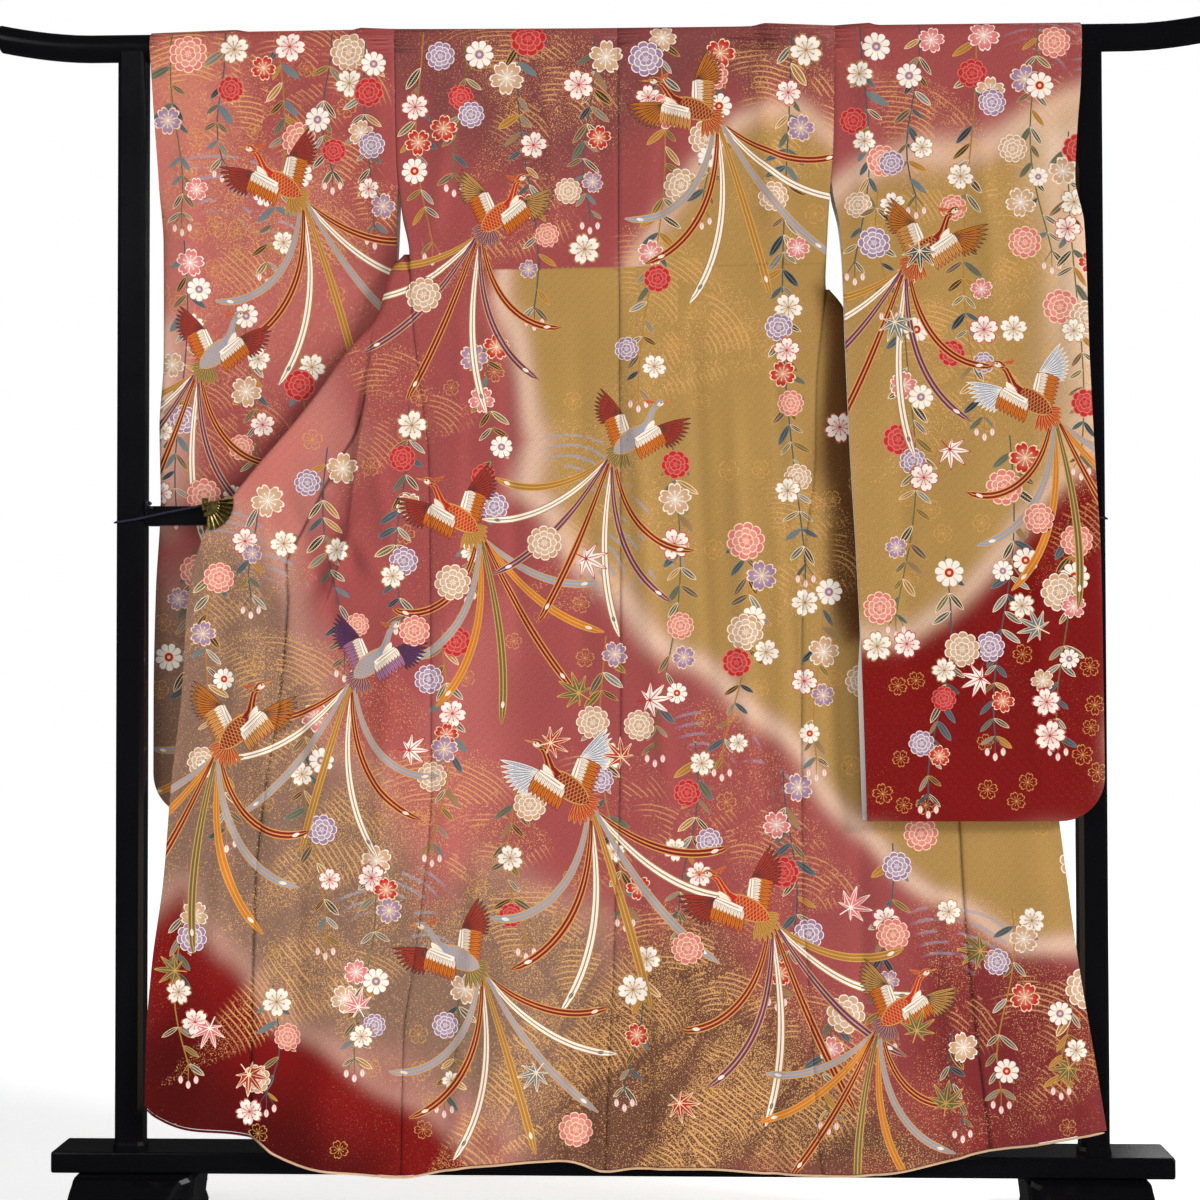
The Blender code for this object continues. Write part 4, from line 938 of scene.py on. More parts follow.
def far_drawing():
    """The painted design of the sides turned away: the fronts behind the bar and the collar."""
    made = Drawing(53)
    waves_in(made, """
        -230 1600 110 20 120 0.8; 180 1560 110 20 120 0.8; -380 1200 100 20 110 0.7;
        380 1200 100 20 110 -0.7; -500 1500 120 20 110 0.8; 500 1480 120 20 110 0.8; -520 900 120 20 110 0.8;
        520 900 120 20 110 0.8
    """)
    for x, b, length, sway in rows_of("""
        -250 1716 380 14; -150 1716 300 14; 150 1716 330 14; 265 1716 420 14; -380 1290 220 12;
        370 1280 220 12; -610 1716 460 16; -500 1716 300 16; -400 1716 520 14; 610 1716 500 16;
        500 1716 300 16; 400 1716 560 14; -600 1180 380 16; -480 1080 330 14; 600 1150 380 16;
        470 1060 330 14
    """):
        made.spray(x, b, length, sway)
    for k, (name, x, b, size, heading, mirror) in enumerate((
        ("orange", -540, 1330, 1.0, 25, -1), ("red", 540, 1330, 1.0, 25, 1), ("white", 560, 860, 0.95, 25, -1),
        ("purple", -520, 860, 0.95, 25, 1), ("gold", 220, 1330, 0.8, 20, -1),
    )):
        made.bird(x, b, size, heading, mirror, BIRDS[name], TAILS[k % 3])
    scatter(made, ("white_cherry", "pink_double", "white_red", "beige_double"), 16, -640, 680, 640, 1680)
    scatter(made, ("gold_line",), 60, -650, 690, 610, 1690)
    return made


class Field:
    """One output of a shader node; Python's operators on it add Math nodes."""

    def __init__(self, paint, socket):
        self.paint = paint
        self.socket = socket

    def math(self, operation, *others):
        """A Math node whose first value is this output."""
        return self.paint.math(operation, self, *others)

    def __add__(self, other):
        return self.math("ADD", other)

    __radd__ = __add__

    def __sub__(self, other):
        return self.math("SUBTRACT", other)

    def __rsub__(self, other):
        return self.paint.math("SUBTRACT", other, self)

    def __mul__(self, other):
        return self.math("MULTIPLY", other)

    __rmul__ = __mul__

    def __truediv__(self, other):
        return self.math("DIVIDE", other)

    def __pow__(self, other):
        return self.math("POWER", other)

    def __abs__(self):
        return self.math("ABSOLUTE")

    def fraction(self):
        return self.math("FRACT")

    def rising(self, low, high):
        """0 below low, 1 above high, smooth between them."""
        values = {"Value": self, "From Min": low, "From Max": high}
        return self.paint.node("ShaderNodeMapRange", {"interpolation_type": "SMOOTHSTEP"}, values)


class Paint:
    """A material and the nodes that feed its shader."""

    def __init__(self, name, **constants):
        self.material = bpy.data.materials.new(name)
        self.material.use_nodes = True
        self.tree = self.material.node_tree
        self.shader = self.tree.nodes["Principled BSDF"]
        for key, value in constants.items():
            self.shader.inputs[key.replace("_", " ").title().replace("Ior", "IOR")].default_value = value

    def node(self, kind, settings=None, values=None, output=0):
        """Adds a node: its settings first, then the values or links of its sockets."""
        made = self.tree.nodes.new(kind)
        for key, value in (settings or {}).items():
            if key == "stops":
                ramp = made.color_ramp
                while len(ramp.elements) < len(value):
                    ramp.elements.new(0.5)
                for element, (place, colour) in zip(ramp.elements, value):
                    element.position = place
                    element.color = (*colour, 1.0)
            else:
                setattr(made, key, value)
        for key, value in (values or {}).items():
            if isinstance(value, Field):
                self.tree.links.new(value.socket, made.inputs[key])
            else:
                made.inputs[key].default_value = value
        return Field(self, made.outputs[output])

    def math(self, operation, *values):
        return self.node("ShaderNodeMath", {"operation": operation}, dict(enumerate(values)))

    def mix(self, share, first, second, blend="MIX"):
        """A colour between two, by a share from 0 to 1."""
        whole = [(*c, 1.0) if isinstance(c, tuple) and len(c) == 3 else c for c in (first, second)]
        settings = {"data_type": "RGBA", "blend_type": blend}
        return self.node("ShaderNodeMix", settings, {0: share, 6: whole[0], 7: whole[1]}, 2)

    def scaled(self, colour, factor):
        """A colour made lighter or darker by a number."""
        return self.node("ShaderNodeVectorMath", {"operation": "SCALE"}, {0: colour, "Scale": factor})

    def place(self):
        """x, y and z of the point, in metres."""
        where = self.node("ShaderNodeTexCoord", output=3)
        return where, [self.node("ShaderNodeSeparateXYZ", None, {0: where}, k) for k in range(3)]

    def numbers(self, name):
        """The three numbers of a mesh attribute."""
        whole = self.node("ShaderNodeAttribute", {"attribute_name": name}, output=1)
        return [self.node("ShaderNodeSeparateXYZ", None, {0: whole}, k) for k in range(3)]

    def ink(self, name):
        """The colour and the fourth number of a mesh attribute."""
        colour = self.node("ShaderNodeAttribute", {"attribute_name": name})
        return colour, self.node("ShaderNodeAttribute", {"attribute_name": name}, output=3)

    def noise(self, where, scale, detail=2.0, output=0):
        return self.node("ShaderNodeTexNoise", None, {"Vector": where, "Scale": scale, "Detail": detail}, output)

    def finish(self, colour, roughness=None, height=None, distance=0.0002, metallic=None):
        """Links what varies over the surface to the shader."""
        self.tree.links.new(colour.socket, self.shader.inputs["Base Color"])
        if roughness is not None:
            self.tree.links.new(roughness.socket, self.shader.inputs["Roughness"])
        if metallic is not None:
            self.tree.links.new(metallic.socket, self.shader.inputs["Metallic"])
        if height is not None:
            bump = self.node("ShaderNodeBump", None, {"Height": height, "Distance": distance, "Strength": 0.6})
            self.tree.links.new(bump.socket, self.shader.inputs["Normal"])
        return self.material


def key_fret(x, z):
    """The woven key pattern of the silk: 1 on its lines, 0 between them."""
    repeat = 1 / bpy.context.scene.kimono_silk.fret_size
    across = ((x + z) * repeat).fraction() - 0.5
    up = ((x - z) * repeat).fraction() - 0.5
    ring = abs(across).math("MAXIMUM", abs(up))
    line = abs((ring * 4).fraction() - 0.5).math("GREATER_THAN", 0.25)
    gap = across.math("GREATER_THAN", 0.0) * abs(up).math("LESS_THAN", 0.07)
    return line * (1 - gap)


def silk_ground(paint):
    """The dyed and woven ground under every painted shape, with painted shade and shadow in it: its colour, and the
    weave's height.
    """
    where, (x, _, z) = paint.place()
    # This attribute holds the dye with painted light in it: painted shade in the seams' ditches and the painted shadow
    # beside the right sleeve.
    dye, dust = paint.ink("dye")
    fret = key_fret(x, z)
    patchy = paint.noise(where, 9.0)
    tone = 0.885 + fret * 0.2 + (patchy - 0.5) * 0.2
    colour = paint.scaled(dye, tone)
    wave_u, wave_v, strength = paint.numbers("wave")
    _, fade = paint.ink("wave")
    radius = (wave_u * wave_u + wave_v * wave_v) ** 0.5 + (paint.noise(where, 15.0, 1.0) - 0.5) * 0.07
    code = abs(strength)
    is_red = code.math("GREATER_THAN", 100.0)
    code = code - is_red * 100
    rings = code.math("FLOOR")
    lines = abs((radius * rings).fraction() - 0.5).rising(0.30, 0.43)
    broken = paint.noise(where, 26.0, 1.0).rising(0.42, 0.52)
    share = (code - rings) * fade
    shown = radius.rising(0.32, 0.5) * (1 - radius.rising(0.93, 1.0)) * lines * broken * share * 1.1
    is_blue = strength.math("LESS_THAN", 0.0)
    line_ink = paint.mix(is_blue, INKS["pale_gold"], INKS["blue"])
    line_ink = paint.mix(is_red, line_ink, INKS["rust"])
    colour = paint.mix(shown, colour, line_ink)
    grains = (paint.noise(where, 560.0, 2.0) + dust * 0.13 + share * 0.11).rising(0.66, 0.73)
    powder = grains * (dust + share * 0.6).rising(0.0, 0.4)
    return paint.mix(powder * 0.75, colour, INKS["pale_gold"]), fret


def silk_paint(name):
    return Paint(name, roughness=0.5, sheen_weight=0.015, sheen_roughness=0.4, specular_ior_level=0.13)


def finished_silk(paint, colour, fret):
    return paint.finish(colour, 0.56 - fret * 0.14, fret, 0.00015)


def painted(name):
    """The start of a painted shape's material: its paint, the silk under it and its two inks."""
    paint = silk_paint(name)
    ground, fret = silk_ground(paint)
    fill, solid = paint.ink("fill")
    return paint, ground, fret, fill, solid, paint.ink("edge")[0]


def ground_material():
    paint = silk_paint("silk_ground")
    colour, fret = silk_ground(paint)
    return finished_silk(paint, colour, fret)


def polar(paint):
    """Radius, the share of a turn, and the third number of a flower's own drawing."""
    u, v, count = paint.numbers("motif")
    radius = (u * u + v * v) ** 0.5
    turn = v.math("ARCTAN2", u) / (2 * math.pi)
    return radius, turn, count


def blossom_material():
    """Five notched petals with an outline, stamens and a tinted heart."""
    paint, ground, fret, fill, solid, edge = painted("silk_blossom")
    radius, turn, count = polar(paint)
    petal = abs((turn * count).fraction() - 0.5) * 2
    notch = 1 - petal.rising(0.0, 0.24)
    reach = 0.97 - petal * petal * petal * 0.38 - notch * 0.13
    inside = (reach - radius).rising(-0.02, 0.02)
    band = 1 - (reach - radius).rising(0.06, 0.11)
    between = petal.rising(0.93, 0.975) * radius.rising(0.12, 0.2)
    spoke = abs((turn * count * 2).fraction() - 0.5)
    arc = (0.5 - spoke) * radius * (math.pi / 5)
    stamen = (1 - arc.rising(0.012, 0.03)) * (1 - radius.rising(0.42, 0.46))
    head = (arc * arc + (radius - 0.46) * (radius - 0.46)) ** 0.5
    dots = 1 - head.rising(0.035, 0.06)
    heart = 1 - radius.rising(0.06, 0.12)
    drawn = band.math("MAXIMUM", between)
    drawn = drawn.math("MAXIMUM", stamen * 0.8)
    drawn = drawn.math("MAXIMUM", dots.math("MAXIMUM", heart))
    tinted = paint.mix((1 - radius.rising(0.1, 0.75)) * 0.35, fill, edge)
    colour = paint.mix(inside * solid, ground, tinted)
    colour = paint.mix(inside * drawn, colour, edge)
    return finished_silk(paint, colour, fret)


def rosette_material():
    """A double blossom: three rings of rounded petals, each with its outline."""
    paint, ground, fret, fill, solid, edge = painted("silk_rosette")
    radius, turn, count = polar(paint)
    colour = ground
    for ring, (reach, shift, tint) in enumerate(((0.98, 0.0, 0.0), (0.70, 0.5, 0.18), (0.42, 0.0, 0.05))):
        petal = abs((turn * (count - ring * 2) + shift).fraction() - 0.5) * 2
        limit = reach * (1 - petal * petal * petal * 0.16)
        inside = (limit - radius).rising(-0.015, 0.02)
        band = 1 - (limit - radius).rising(0.04, 0.08)
        between = petal.rising(0.9, 0.97) * (limit - radius).rising(0.28, 0.2)
        drawn = band.math("MAXIMUM", between)
        shaded = paint.mix(tint, fill, edge)
        colour = paint.mix(inside * solid, colour, shaded)
        colour = paint.mix(inside * drawn, colour, edge)
    spoke = abs((turn * 8).fraction() - 0.5)
    seeds = (1 - radius.rising(0.16, 0.2)) * (1 - spoke.rising(0.12, 0.3))
    colour = paint.mix(seeds, colour, edge)
    return finished_silk(paint, colour, fret)


def daisy_material():
    """Rounded petals apart from each other round a wide coloured centre."""
    paint, ground, fret, fill, _, edge = painted("silk_daisy")
    radius, turn, count = polar(paint)
    petal = abs((turn * count).fraction() - 0.5) * 2
    limit = 0.99 - petal * petal * petal * 0.26
    inside = (limit - radius).rising(-0.02, 0.02) * (1 - petal.rising(0.86, 0.95) * radius.rising(0.4, 0.5))
    heart = 1 - radius.rising(0.34, 0.4)
    ring = 1 - abs(radius - 0.36).rising(0.03, 0.06)
    seeds = (1 - radius.rising(0.1, 0.15)) * 0.8
    colour = paint.mix(inside, ground, fill)
    colour = paint.mix(heart, colour, edge)
    colour = paint.mix(ring.math("MAXIMUM", seeds), colour, INKS["cream"])
    return finished_silk(paint, colour, fret)


def pointed(u, v, detail):
    """Inside and outline of a shape that comes to a point at both ends."""
    limit = (1 - u * u).math("MAXIMUM", 0.0) ** 0.72
    inside = (limit - abs(v)).rising(-0.03, 0.03)
    return inside, 1 - (limit - abs(v)).rising(detail * 0.7, detail)


def leaf_material():
    """A pointed leaf or feather with an outline, a midrib and fine side veins."""
    paint, ground, fret, fill, solid, edge = painted("silk_leaf")
    u, v, detail = paint.numbers("motif")
    inside, band = pointed(u, v, detail)
    rib = 1 - abs(v).rising(0.06, 0.14)
    veins = (abs((u * 6 - abs(v) * 0.8).fraction() - 0.5) * 2).rising(0.8, 0.95) * 0.45
    drawn = band.math("MAXIMUM", rib * 0.8)
    drawn = drawn.math("MAXIMUM", veins)
    tinted = paint.scaled(fill, 0.9 + u * 0.14)
    colour = paint.mix(inside * solid, ground, tinted)
    colour = paint.mix(inside * drawn, colour, edge)
    return finished_silk(paint, colour, fret)


def scales_material():
    """A bird's body: a pointed shape covered with fine crossing lines."""
    paint, ground, fret, fill, solid, edge = painted("silk_scales")
    u, v, detail = paint.numbers("motif")
    inside, band = pointed(u, v, detail)
    first = abs((u * 7 + v * 1.6).fraction() - 0.5).rising(0.36, 0.44)
    second = abs((u * 7 - v * 1.6).fraction() - 0.5).rising(0.36, 0.44)
    net = first.math("MAXIMUM", second) * 0.8
    colour = paint.mix(inside * solid, ground, fill)
    colour = paint.mix(inside * band.math("MAXIMUM", net), colour, edge)
    return finished_silk(paint, colour, fret)


def band_material():
    """A stem, ribbon or flat shape, outlined where its third number asks for it."""
    paint = silk_paint("silk_band")
    _, (x, _, z) = paint.place()
    fill, _ = paint.ink("fill")
    edge, _ = paint.ink("edge")
    u, v, detail = paint.numbers("motif")
    band = (abs(v) + detail).rising(0.96, 1.04) * detail.rising(0.01, 0.05)
    rib = (1 - abs(v).rising(0.1, 0.2)) * detail.rising(0.01, 0.05) * u.rising(0.05, 0.2)
    colour = paint.mix(band.math("MAXIMUM", rib), fill, edge)
    return finished_silk(paint, colour, key_fret(x, z))


def lining_material(name, upper, lower):
    """Plain silk lining that turns to another colour towards the hem."""
    paint = Paint(name, roughness=0.55, sheen_weight=0.2, specular_ior_level=0.35)
    where, (x, _, z) = paint.place()
    weave = (x * 1400).math("SINE") * (z * 1400).math("SINE")
    shade = paint.mix(z.rising(0.5, 0.8), lower, upper)
    colour = paint.scaled(shade, 0.94 + paint.noise(where, 14.0) * 0.12 + weave * 0.01)
    return paint.finish(colour, 0.6 - weave * 0.04, weave, 0.0001)


def hem_material():
    """The padded hem: pale lining under the back, dark red under the left front's edge."""
    paint = Paint("hem_padding", roughness=0.6, specular_ior_level=0.2)
    where, (x, _, z) = paint.place()
    silk = bpy.context.scene.kimono_silk
    weave = (x * 1400).math("SINE") * (z * 1400).math("SINE")
    shade = paint.mix(x.rising(-0.51, -0.47), tuple(silk.dark_red), srgb(206, 168, 132))
    colour = paint.scaled(shade, 0.92 + paint.noise(where, 40.0) * 0.16)
    return paint.finish(colour, 0.62 - weave * 0.04, weave, 0.0001)


PAINTERS = {
    "ground": ground_material,
    "blossom": blossom_material,
    "rosette": rosette_material,
    "daisy": daisy_material,
    "leaf": leaf_material,
    "scales": scales_material,
    "band": band_material,
}
KINDS = tuple(PAINTERS)
SILKS = {}


def silk_materials():
    """The materials of the printed cloth, made once."""
    if not SILKS:
        silk = bpy.context.scene.kimono_silk
        for kind, make in PAINTERS.items():
            SILKS[kind] = make()
        SILKS["body_lining"] = lining_material("body_lining", tuple(silk.lining), tuple(silk.hem_lining))
        SILKS["sleeve_lining"] = lining_material("sleeve_lining", tuple(silk.lining), tuple(silk.sleeve_lining))
    return SILKS


INSETS = (1.6, 3.6, 6.5)
FAR_SPACING = 9.0
RUNG_LOW = 1684.3
RUNG_STEP = 4.6


def triangulated(outline, drawing, spacing, insets, marks):
    """Triangles over an outline that follow every painted shape, with the topmost shape of each."""
    low, high = outline.min(axis=0), outline.max(axis=0)
    rows = np.arange(low[1] + spacing / 2, high[1], spacing * 0.87)
    grid = []
    for i, b in enumerate(rows):
        a = np.arange(low[0] + spacing * (0.5 + 0.5 * (i % 2)), high[0], spacing)
        grid.append(np.column_stack([a, np.full(len(a), b)]))
    grid = np.concatenate(grid)
    grid = grid[depth_inside(outline, grid[:, 0], grid[:, 1]) > insets[-1] + spacing * 0.4]
    before, after = np.roll(outline, 1, axis=0), np.roll(outline, -1, axis=0)
    along = after - before
    normal = np.column_stack([-along[:, 1], along[:, 0]]) / np.linalg.norm(along, axis=1)[:, None]
    lines = []
    for inset in insets:
        line = outline + normal * inset
        lines.append(line[depth_inside(outline, line[:, 0], line[:, 1]) > inset * 0.85])
    for mark in marks:
        lines.append(mark[depth_inside(outline, mark[:, 0], mark[:, 1]) > insets[-1]])
    loose = np.concatenate([grid] + lines)
    coords = [Vector(p) for p in outline]
    faces = [list(range(len(outline)))]
    used = []
    for shape in drawing.shapes:
        corners = shape[1]
        if (corners.max(axis=0) > low).all() and (corners.min(axis=0) < high).all():
            faces.append(list(range(len(coords), len(coords) + len(corners))))
            coords += [Vector(p) for p in corners]
            used.append(shape)
    rungs = []
    for b in np.arange(RUNG_LOW, min(high[1], TOP) - 1.0, RUNG_STEP):
        rungs.append((len(coords), len(coords) + 1))
        coords += [Vector((low[0] - 3, b)), Vector((high[0] + 3, b + 0.07))]
    coords += [Vector(p) for p in loose]
    points, _, triangles, _, _, owners = delaunay_2d_cdt(coords, rungs, faces, 0, 0.01, True)
    kept, top = [], []
    for triangle, ids in zip(triangles, owners):
        if 0 in ids:
            kept.append(triangle)
            top.append(max(ids) - 1)
    kept = np.array(kept)
    flat = np.array([tuple(p) for p in points])
    present = np.unique(kept)
    renumbered = np.zeros(len(flat), int)
    renumbered[present] = np.arange(len(present))
    return flat[present], renumbered[kept], np.array(top), used


def waves_on(drawing, corners):
    """The painted arcs at each corner: their own u and v, their code, and how strongly they show."""
    result = np.zeros((len(corners), 3, 4))
    for x, b, radius, start, sweep, code in drawing.waves:
        away = (corners - (x, b)) / radius
        middle = away.mean(axis=1)
        share = []
        for part in (middle, away):
            turn = np.degrees(np.arctan2(part[..., 1], part[..., 0])) - start - sweep / 2
            share.append(((turn + 180) % 360 - 180) / sweep + 0.5)
        inside = (np.linalg.norm(middle, axis=1) < 1.05) & (share[0] > 0) & (share[0] < 1)
        fade = smooth_step(np.minimum(share[1], 1 - share[1]) * 5)
        whole = np.concatenate([away, np.full(fade.shape + (1,), code), fade[..., None]], axis=2)
        result[inside] = whole[inside]
    return result


def drawn_corners(flat, triangles, chosen, used):
    """The drawing's own u, v and detail at each corner of each triangle, from the shape it belongs to."""
    facts = np.array([shape[2] for shape in used] + [[0.0] * 10])
    facts = facts[chosen][:, None, :]
    away = flat[triangles] - facts[:, :, 0:2]
    u = (away * facts[:, :, 2:4]).sum(axis=2)
    v = (away * facts[:, :, 4:6]).sum(axis=2) / np.maximum(1 + facts[:, :, 6] * u, 0.05)
    scaled_u = facts[:, :, 7] + (facts[:, :, 8] - facts[:, :, 7]) * u
    whole = (facts[:, :, 7] == 0) & (facts[:, :, 8] == 1)
    return np.stack([np.where(whole, u, scaled_u), v, facts[:, :, 9] + 0 * u], axis=2)


def cloth(node, outline, place, facing, drawing, zones, lining, insets=INSETS, spacing=None, marks=()):
    """Cuts one piece from the drawing, hangs it and closes it as a thin shell."""
    name = "silk_" + node
    silk = bpy.context.scene.kimono_silk
    spacing = spacing or silk.mesh_size / MM
    outline = np.array(outline, float)
    after = np.roll(outline, -1, axis=0)
    area = (outline[:, 0] * after[:, 1] - after[:, 0] * outline[:, 1]).sum() / 2
    if area < 0:
        outline = outline[::-1]
    flat, triangles, top, used = triangulated(outline, drawing, spacing, insets, marks)
    x, b = flat[:, 0], flat[:, 1]
    middle = place(x, b)
    nudge = 0.15
    normal = np.cross(place(x + nudge, b) - place(x - nudge, b), place(x, b + nudge) - place(x, b - nudge))
    normal /= np.maximum(np.linalg.norm(normal, axis=1, keepdims=True), 1e-9)
    outer = middle + normal * facing * SILK / 2
    inner = middle - normal * facing * SILK / 2
    count = len(flat)
    face = triangles if facing > 0 else triangles[:, ::-1]
    edges = {}
    for i, j, k in face.tolist():
        for pair in ((i, j), (j, k), (k, i)):
            edges[pair] = edges.get(pair[::-1], 0) + 1
    rim = []
    for i, j in edges:
        if (j, i) not in edges:
            rim.append((j, i, i + count, j + count))
    mesh = bpy.data.meshes.new(name)
    points = (np.concatenate([outer, inner]) * MM).tolist()
    mesh.from_pydata(points, [], face.tolist() + (face[:, ::-1] + count).tolist() + rim)
    shade = dyed_and_shaded(zones, x, b)
    if zones is BODY_ZONES:
        above = b > TUCK_HEIGHT + 0.012 * x + 0.6
        shade[above] = dyed_and_shaded(UPPER_ZONES, x[above], b[above])
        # Painted shade: the colour is darkened along the ditches of the long seams.
        shade[:, :3] *= 1 - seam_shade(x, b)[:, None]
    mesh.attributes.new("dye", "FLOAT_COLOR", "POINT").data.foreach_set("color", np.tile(shade, (2, 1)).ravel())
    order = slice(None) if facing > 0 else slice(None, None, -1)
    back = len(face) * 3 + len(rim) * 4
    drawn = drawn_corners(flat, triangles, top, used)[:, order].reshape(-1, 3)
    arcs = waves_on(drawing, flat[triangles])[:, order].reshape(-1, 4)
    inks = np.repeat(np.array([shape[3] for shape in used] + [[0.0] * 8])[top], 3, axis=0)
    for key, values in (("motif", drawn), ("wave", arcs), ("fill", inks[:, :4]), ("edge", inks[:, 4:])):
        kind, part = ("FLOAT_VECTOR", "vector") if key == "motif" else ("FLOAT_COLOR", "color")
        whole = np.concatenate([values, np.zeros((back, values.shape[1]))])
        mesh.attributes.new(key, kind, "CORNER").data.foreach_set(part, whole.ravel())
    kinds = np.array([KINDS.index(shape[0]) if shape[0] in KINDS else 0 for shape in used] + [0])
    index = np.concatenate([kinds[top], np.full(len(face), len(KINDS)), np.zeros(len(rim), int)])
    mesh.polygons.foreach_set("material_index", index.astype(np.int32))
    flags = np.concatenate([np.ones(2 * len(face), bool), np.zeros(len(rim), bool)])
    mesh.polygons.foreach_set("use_smooth", flags)
    materials = silk_materials()
    for kind in KINDS + (lining,):
        mesh.materials.append(materials[kind])
    mesh.update()
    piece = bpy.data.objects.new(name, mesh)
    bpy.context.scene.collection.objects.link(piece)
    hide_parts(node)
    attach(piece, "root")
    slant = np.linalg.svd(outline - outline.mean(axis=0), full_matrices=False)[2][0]
    length = np.ptp(outline @ slant)
    width = 1.15 * abs(area) / length
    width * MM
    abs(area) * MM * MM
    return piece


def run(start, stop, step=7.0):
    """Evenly spaced numbers from start to stop, both included."""
    return np.linspace(start, stop, max(2, int(abs(stop - start) / step) + 1))


TOP = BAR_HEIGHT + CLOTH_ON_BAR * math.pi / 2 * 0.995


def hem_height(x):
    return read(HEM, "z", x)


def foot_of(curve):
    """The height at which a side curve reaches the hem."""
    z = 130.0
    for _ in range(6):
        z = float(hem_height(curve(np.array([z]))[0]))
    return z


def column(tab, name):
    return lambda z: read(tab, name, z)


def side_line(curve, low, high):
    """A side of a piece, upwards, from a curve that gives x at each height."""
    b = run(low, high)
    return np.column_stack([curve(np.minimum(b, BAR_HEIGHT)), b])


def closed_outline(left, right, follow_hem=False):
    """A closed outline from two side lines that run upwards."""
    over = run(right[-1, 0], left[-1, 0])[1:-1]
    share = (over - right[-1, 0]) / (left[-1, 0] - right[-1, 0])
    top = np.column_stack([over, right[-1, 1] + (left[-1, 1] - right[-1, 1]) * share])
    under = run(left[0, 0], right[0, 0])[1:-1]
    share = (under - left[0, 0]) / (right[0, 0] - left[0, 0])
    low = hem_height(under) if follow_hem else left[0, 1] + (right[0, 1] - left[0, 1]) * share
    return np.concatenate([right, top, left[::-1], np.column_stack([under, low])])


ROLLED = (0.5, 1.8, 4.2, 8.0)
GAP = 0.02
OVERLAP_TOP = 1304


def seam_bound(opened):
    """Where the front proper ends and its overlap begins in the opened part, as a curve."""

    def curve(z):
        edge = read(opened, "edge", z)
        share = np.clip((1312 - z) / 18, 0, 1)
        return edge + (read(opened, "overlap", z) - edge) * share

    return curve


def make_back(drawing):
    middle = column(BACK, "middle")
    tuck = []
    for rise in (-3.0, -1.2, 0.0, 1.2, 3.0, 5.5):
        across = np.arange(-300.0, 330.0, 4.0)
        tuck.append(np.column_stack([across, TUCK_HEIGHT + 0.012 * across + rise]))
    for name, left, right in (
        ("back_left", column(BACK, "left"), middle),
        ("back_right", middle, column(BACK, "right")),
    ):
        left_line = side_line(lambda z, c=left: c(z) + GAP, foot_of(left), TOP)
        right_line = side_line(lambda z, c=right: c(z) - GAP, foot_of(right), TOP)
        outline = closed_outline(left_line, right_line, True)
        cloth(name, outline, hang_back, 1, drawing, BODY_ZONES, "body_lining", marks=tuck)


def make_opened(side, drawing):
    """The opened part of one front and of its overlap."""
    opened = OPENED_LEFT if side == "left" else OPENED_RIGHT
    out = OUT[side]
    seam = column(BACK, side)
    edge = column(opened, "edge")
    bound = seam_bound(opened)
    top = float(opened["z"][-1]) - 4

    place = functools.partial(hang_opened, side)
    marks = []
    if side == "left":
        for away in (-5.0, -3.2, -2.0, -1.0, 0.0, 1.5, 4.0):
            down = np.arange(870.0, 1322.0, 3.0)
            marks.append(np.column_stack([read(POCKET, "x", down) + away, down]))
    for piece, slot, near, far in (
        (
            "front_",
            "rose_silk",
            side_line(lambda z: seam(z) + out * GAP, foot_of(seam), top),
            side_line(lambda z: bound(z) - out * GAP * (z < 1300), foot_of(bound), top),
        ),
        (
            "overlap_",
            "taupe_silk" if side == "left" else "rose_silk",
            side_line(lambda z: bound(z) + out * GAP, foot_of(bound), OVERLAP_TOP),
            side_line(edge, foot_of(edge), OVERLAP_TOP),
        ),
    ):
        lines = (far, near) if side == "left" else (near, far)
        outline = closed_outline(*lines, True)
        cloth(piece + side, outline, place, 1, drawing, BODY_ZONES, "body_lining", ROLLED, None, marks)


def make_turned(side, drawing):
    """The part of one front, its overlap and its collar behind the bar."""
    turned = TURNED_LEFT if side == "left" else TURNED_RIGHT
    out = OUT[side]
    outer, collar = column(turned, "outer"), column(turned, "collar")

    def overlap(z):
        return out * np.minimum(np.maximum(out * read(turned, "overlap", z), out * collar(z)), out * outer(z))

    for piece, inner, border, low, high in (
        ("front", overlap, outer, 1272, TOP),
        ("overlap", collar, overlap, 1030, 1476),
        ("collar", lambda z: collar(z) - out * collar_width(z), lambda z: collar(z) - out * 0.4, 1030, 1671),
    ):
        near = side_line(lambda z, c=inner: c(z) + out * GAP, low, high)
        trim = GAP if piece == "overlap" else 0.0
        far = side_line(lambda z, c=border: c(z) - out * trim * (np.abs(c(z) - outer(z)) > 0.5), low, high)
        outline = closed_outline(far, near) if side == "left" else closed_outline(near, far)
        name = ("collar_" if piece == "collar" else piece + "_top_") + side
        place = functools.partial(hang_turned, side, piece)
        cloth(name, outline, place, -1, drawing, FAR_ZONES, "body_lining", ROLLED, FAR_SPACING)


def make_neck(drawing):
    middle = float(BACK["middle"][-1])
    left = side_line(lambda z: middle - NECK_HALF + 0.4 + 0 * z, BAR_HEIGHT - NECK_BAND, TOP)
    right = side_line(lambda z: middle + NECK_HALF - 0.4 + 0 * z, BAR_HEIGHT - NECK_BAND, TOP)
    outline = closed_outline(left, right)
    cloth("collar_neck", outline, hang_neck, -1, drawing, FAR_ZONES, "body_lining")


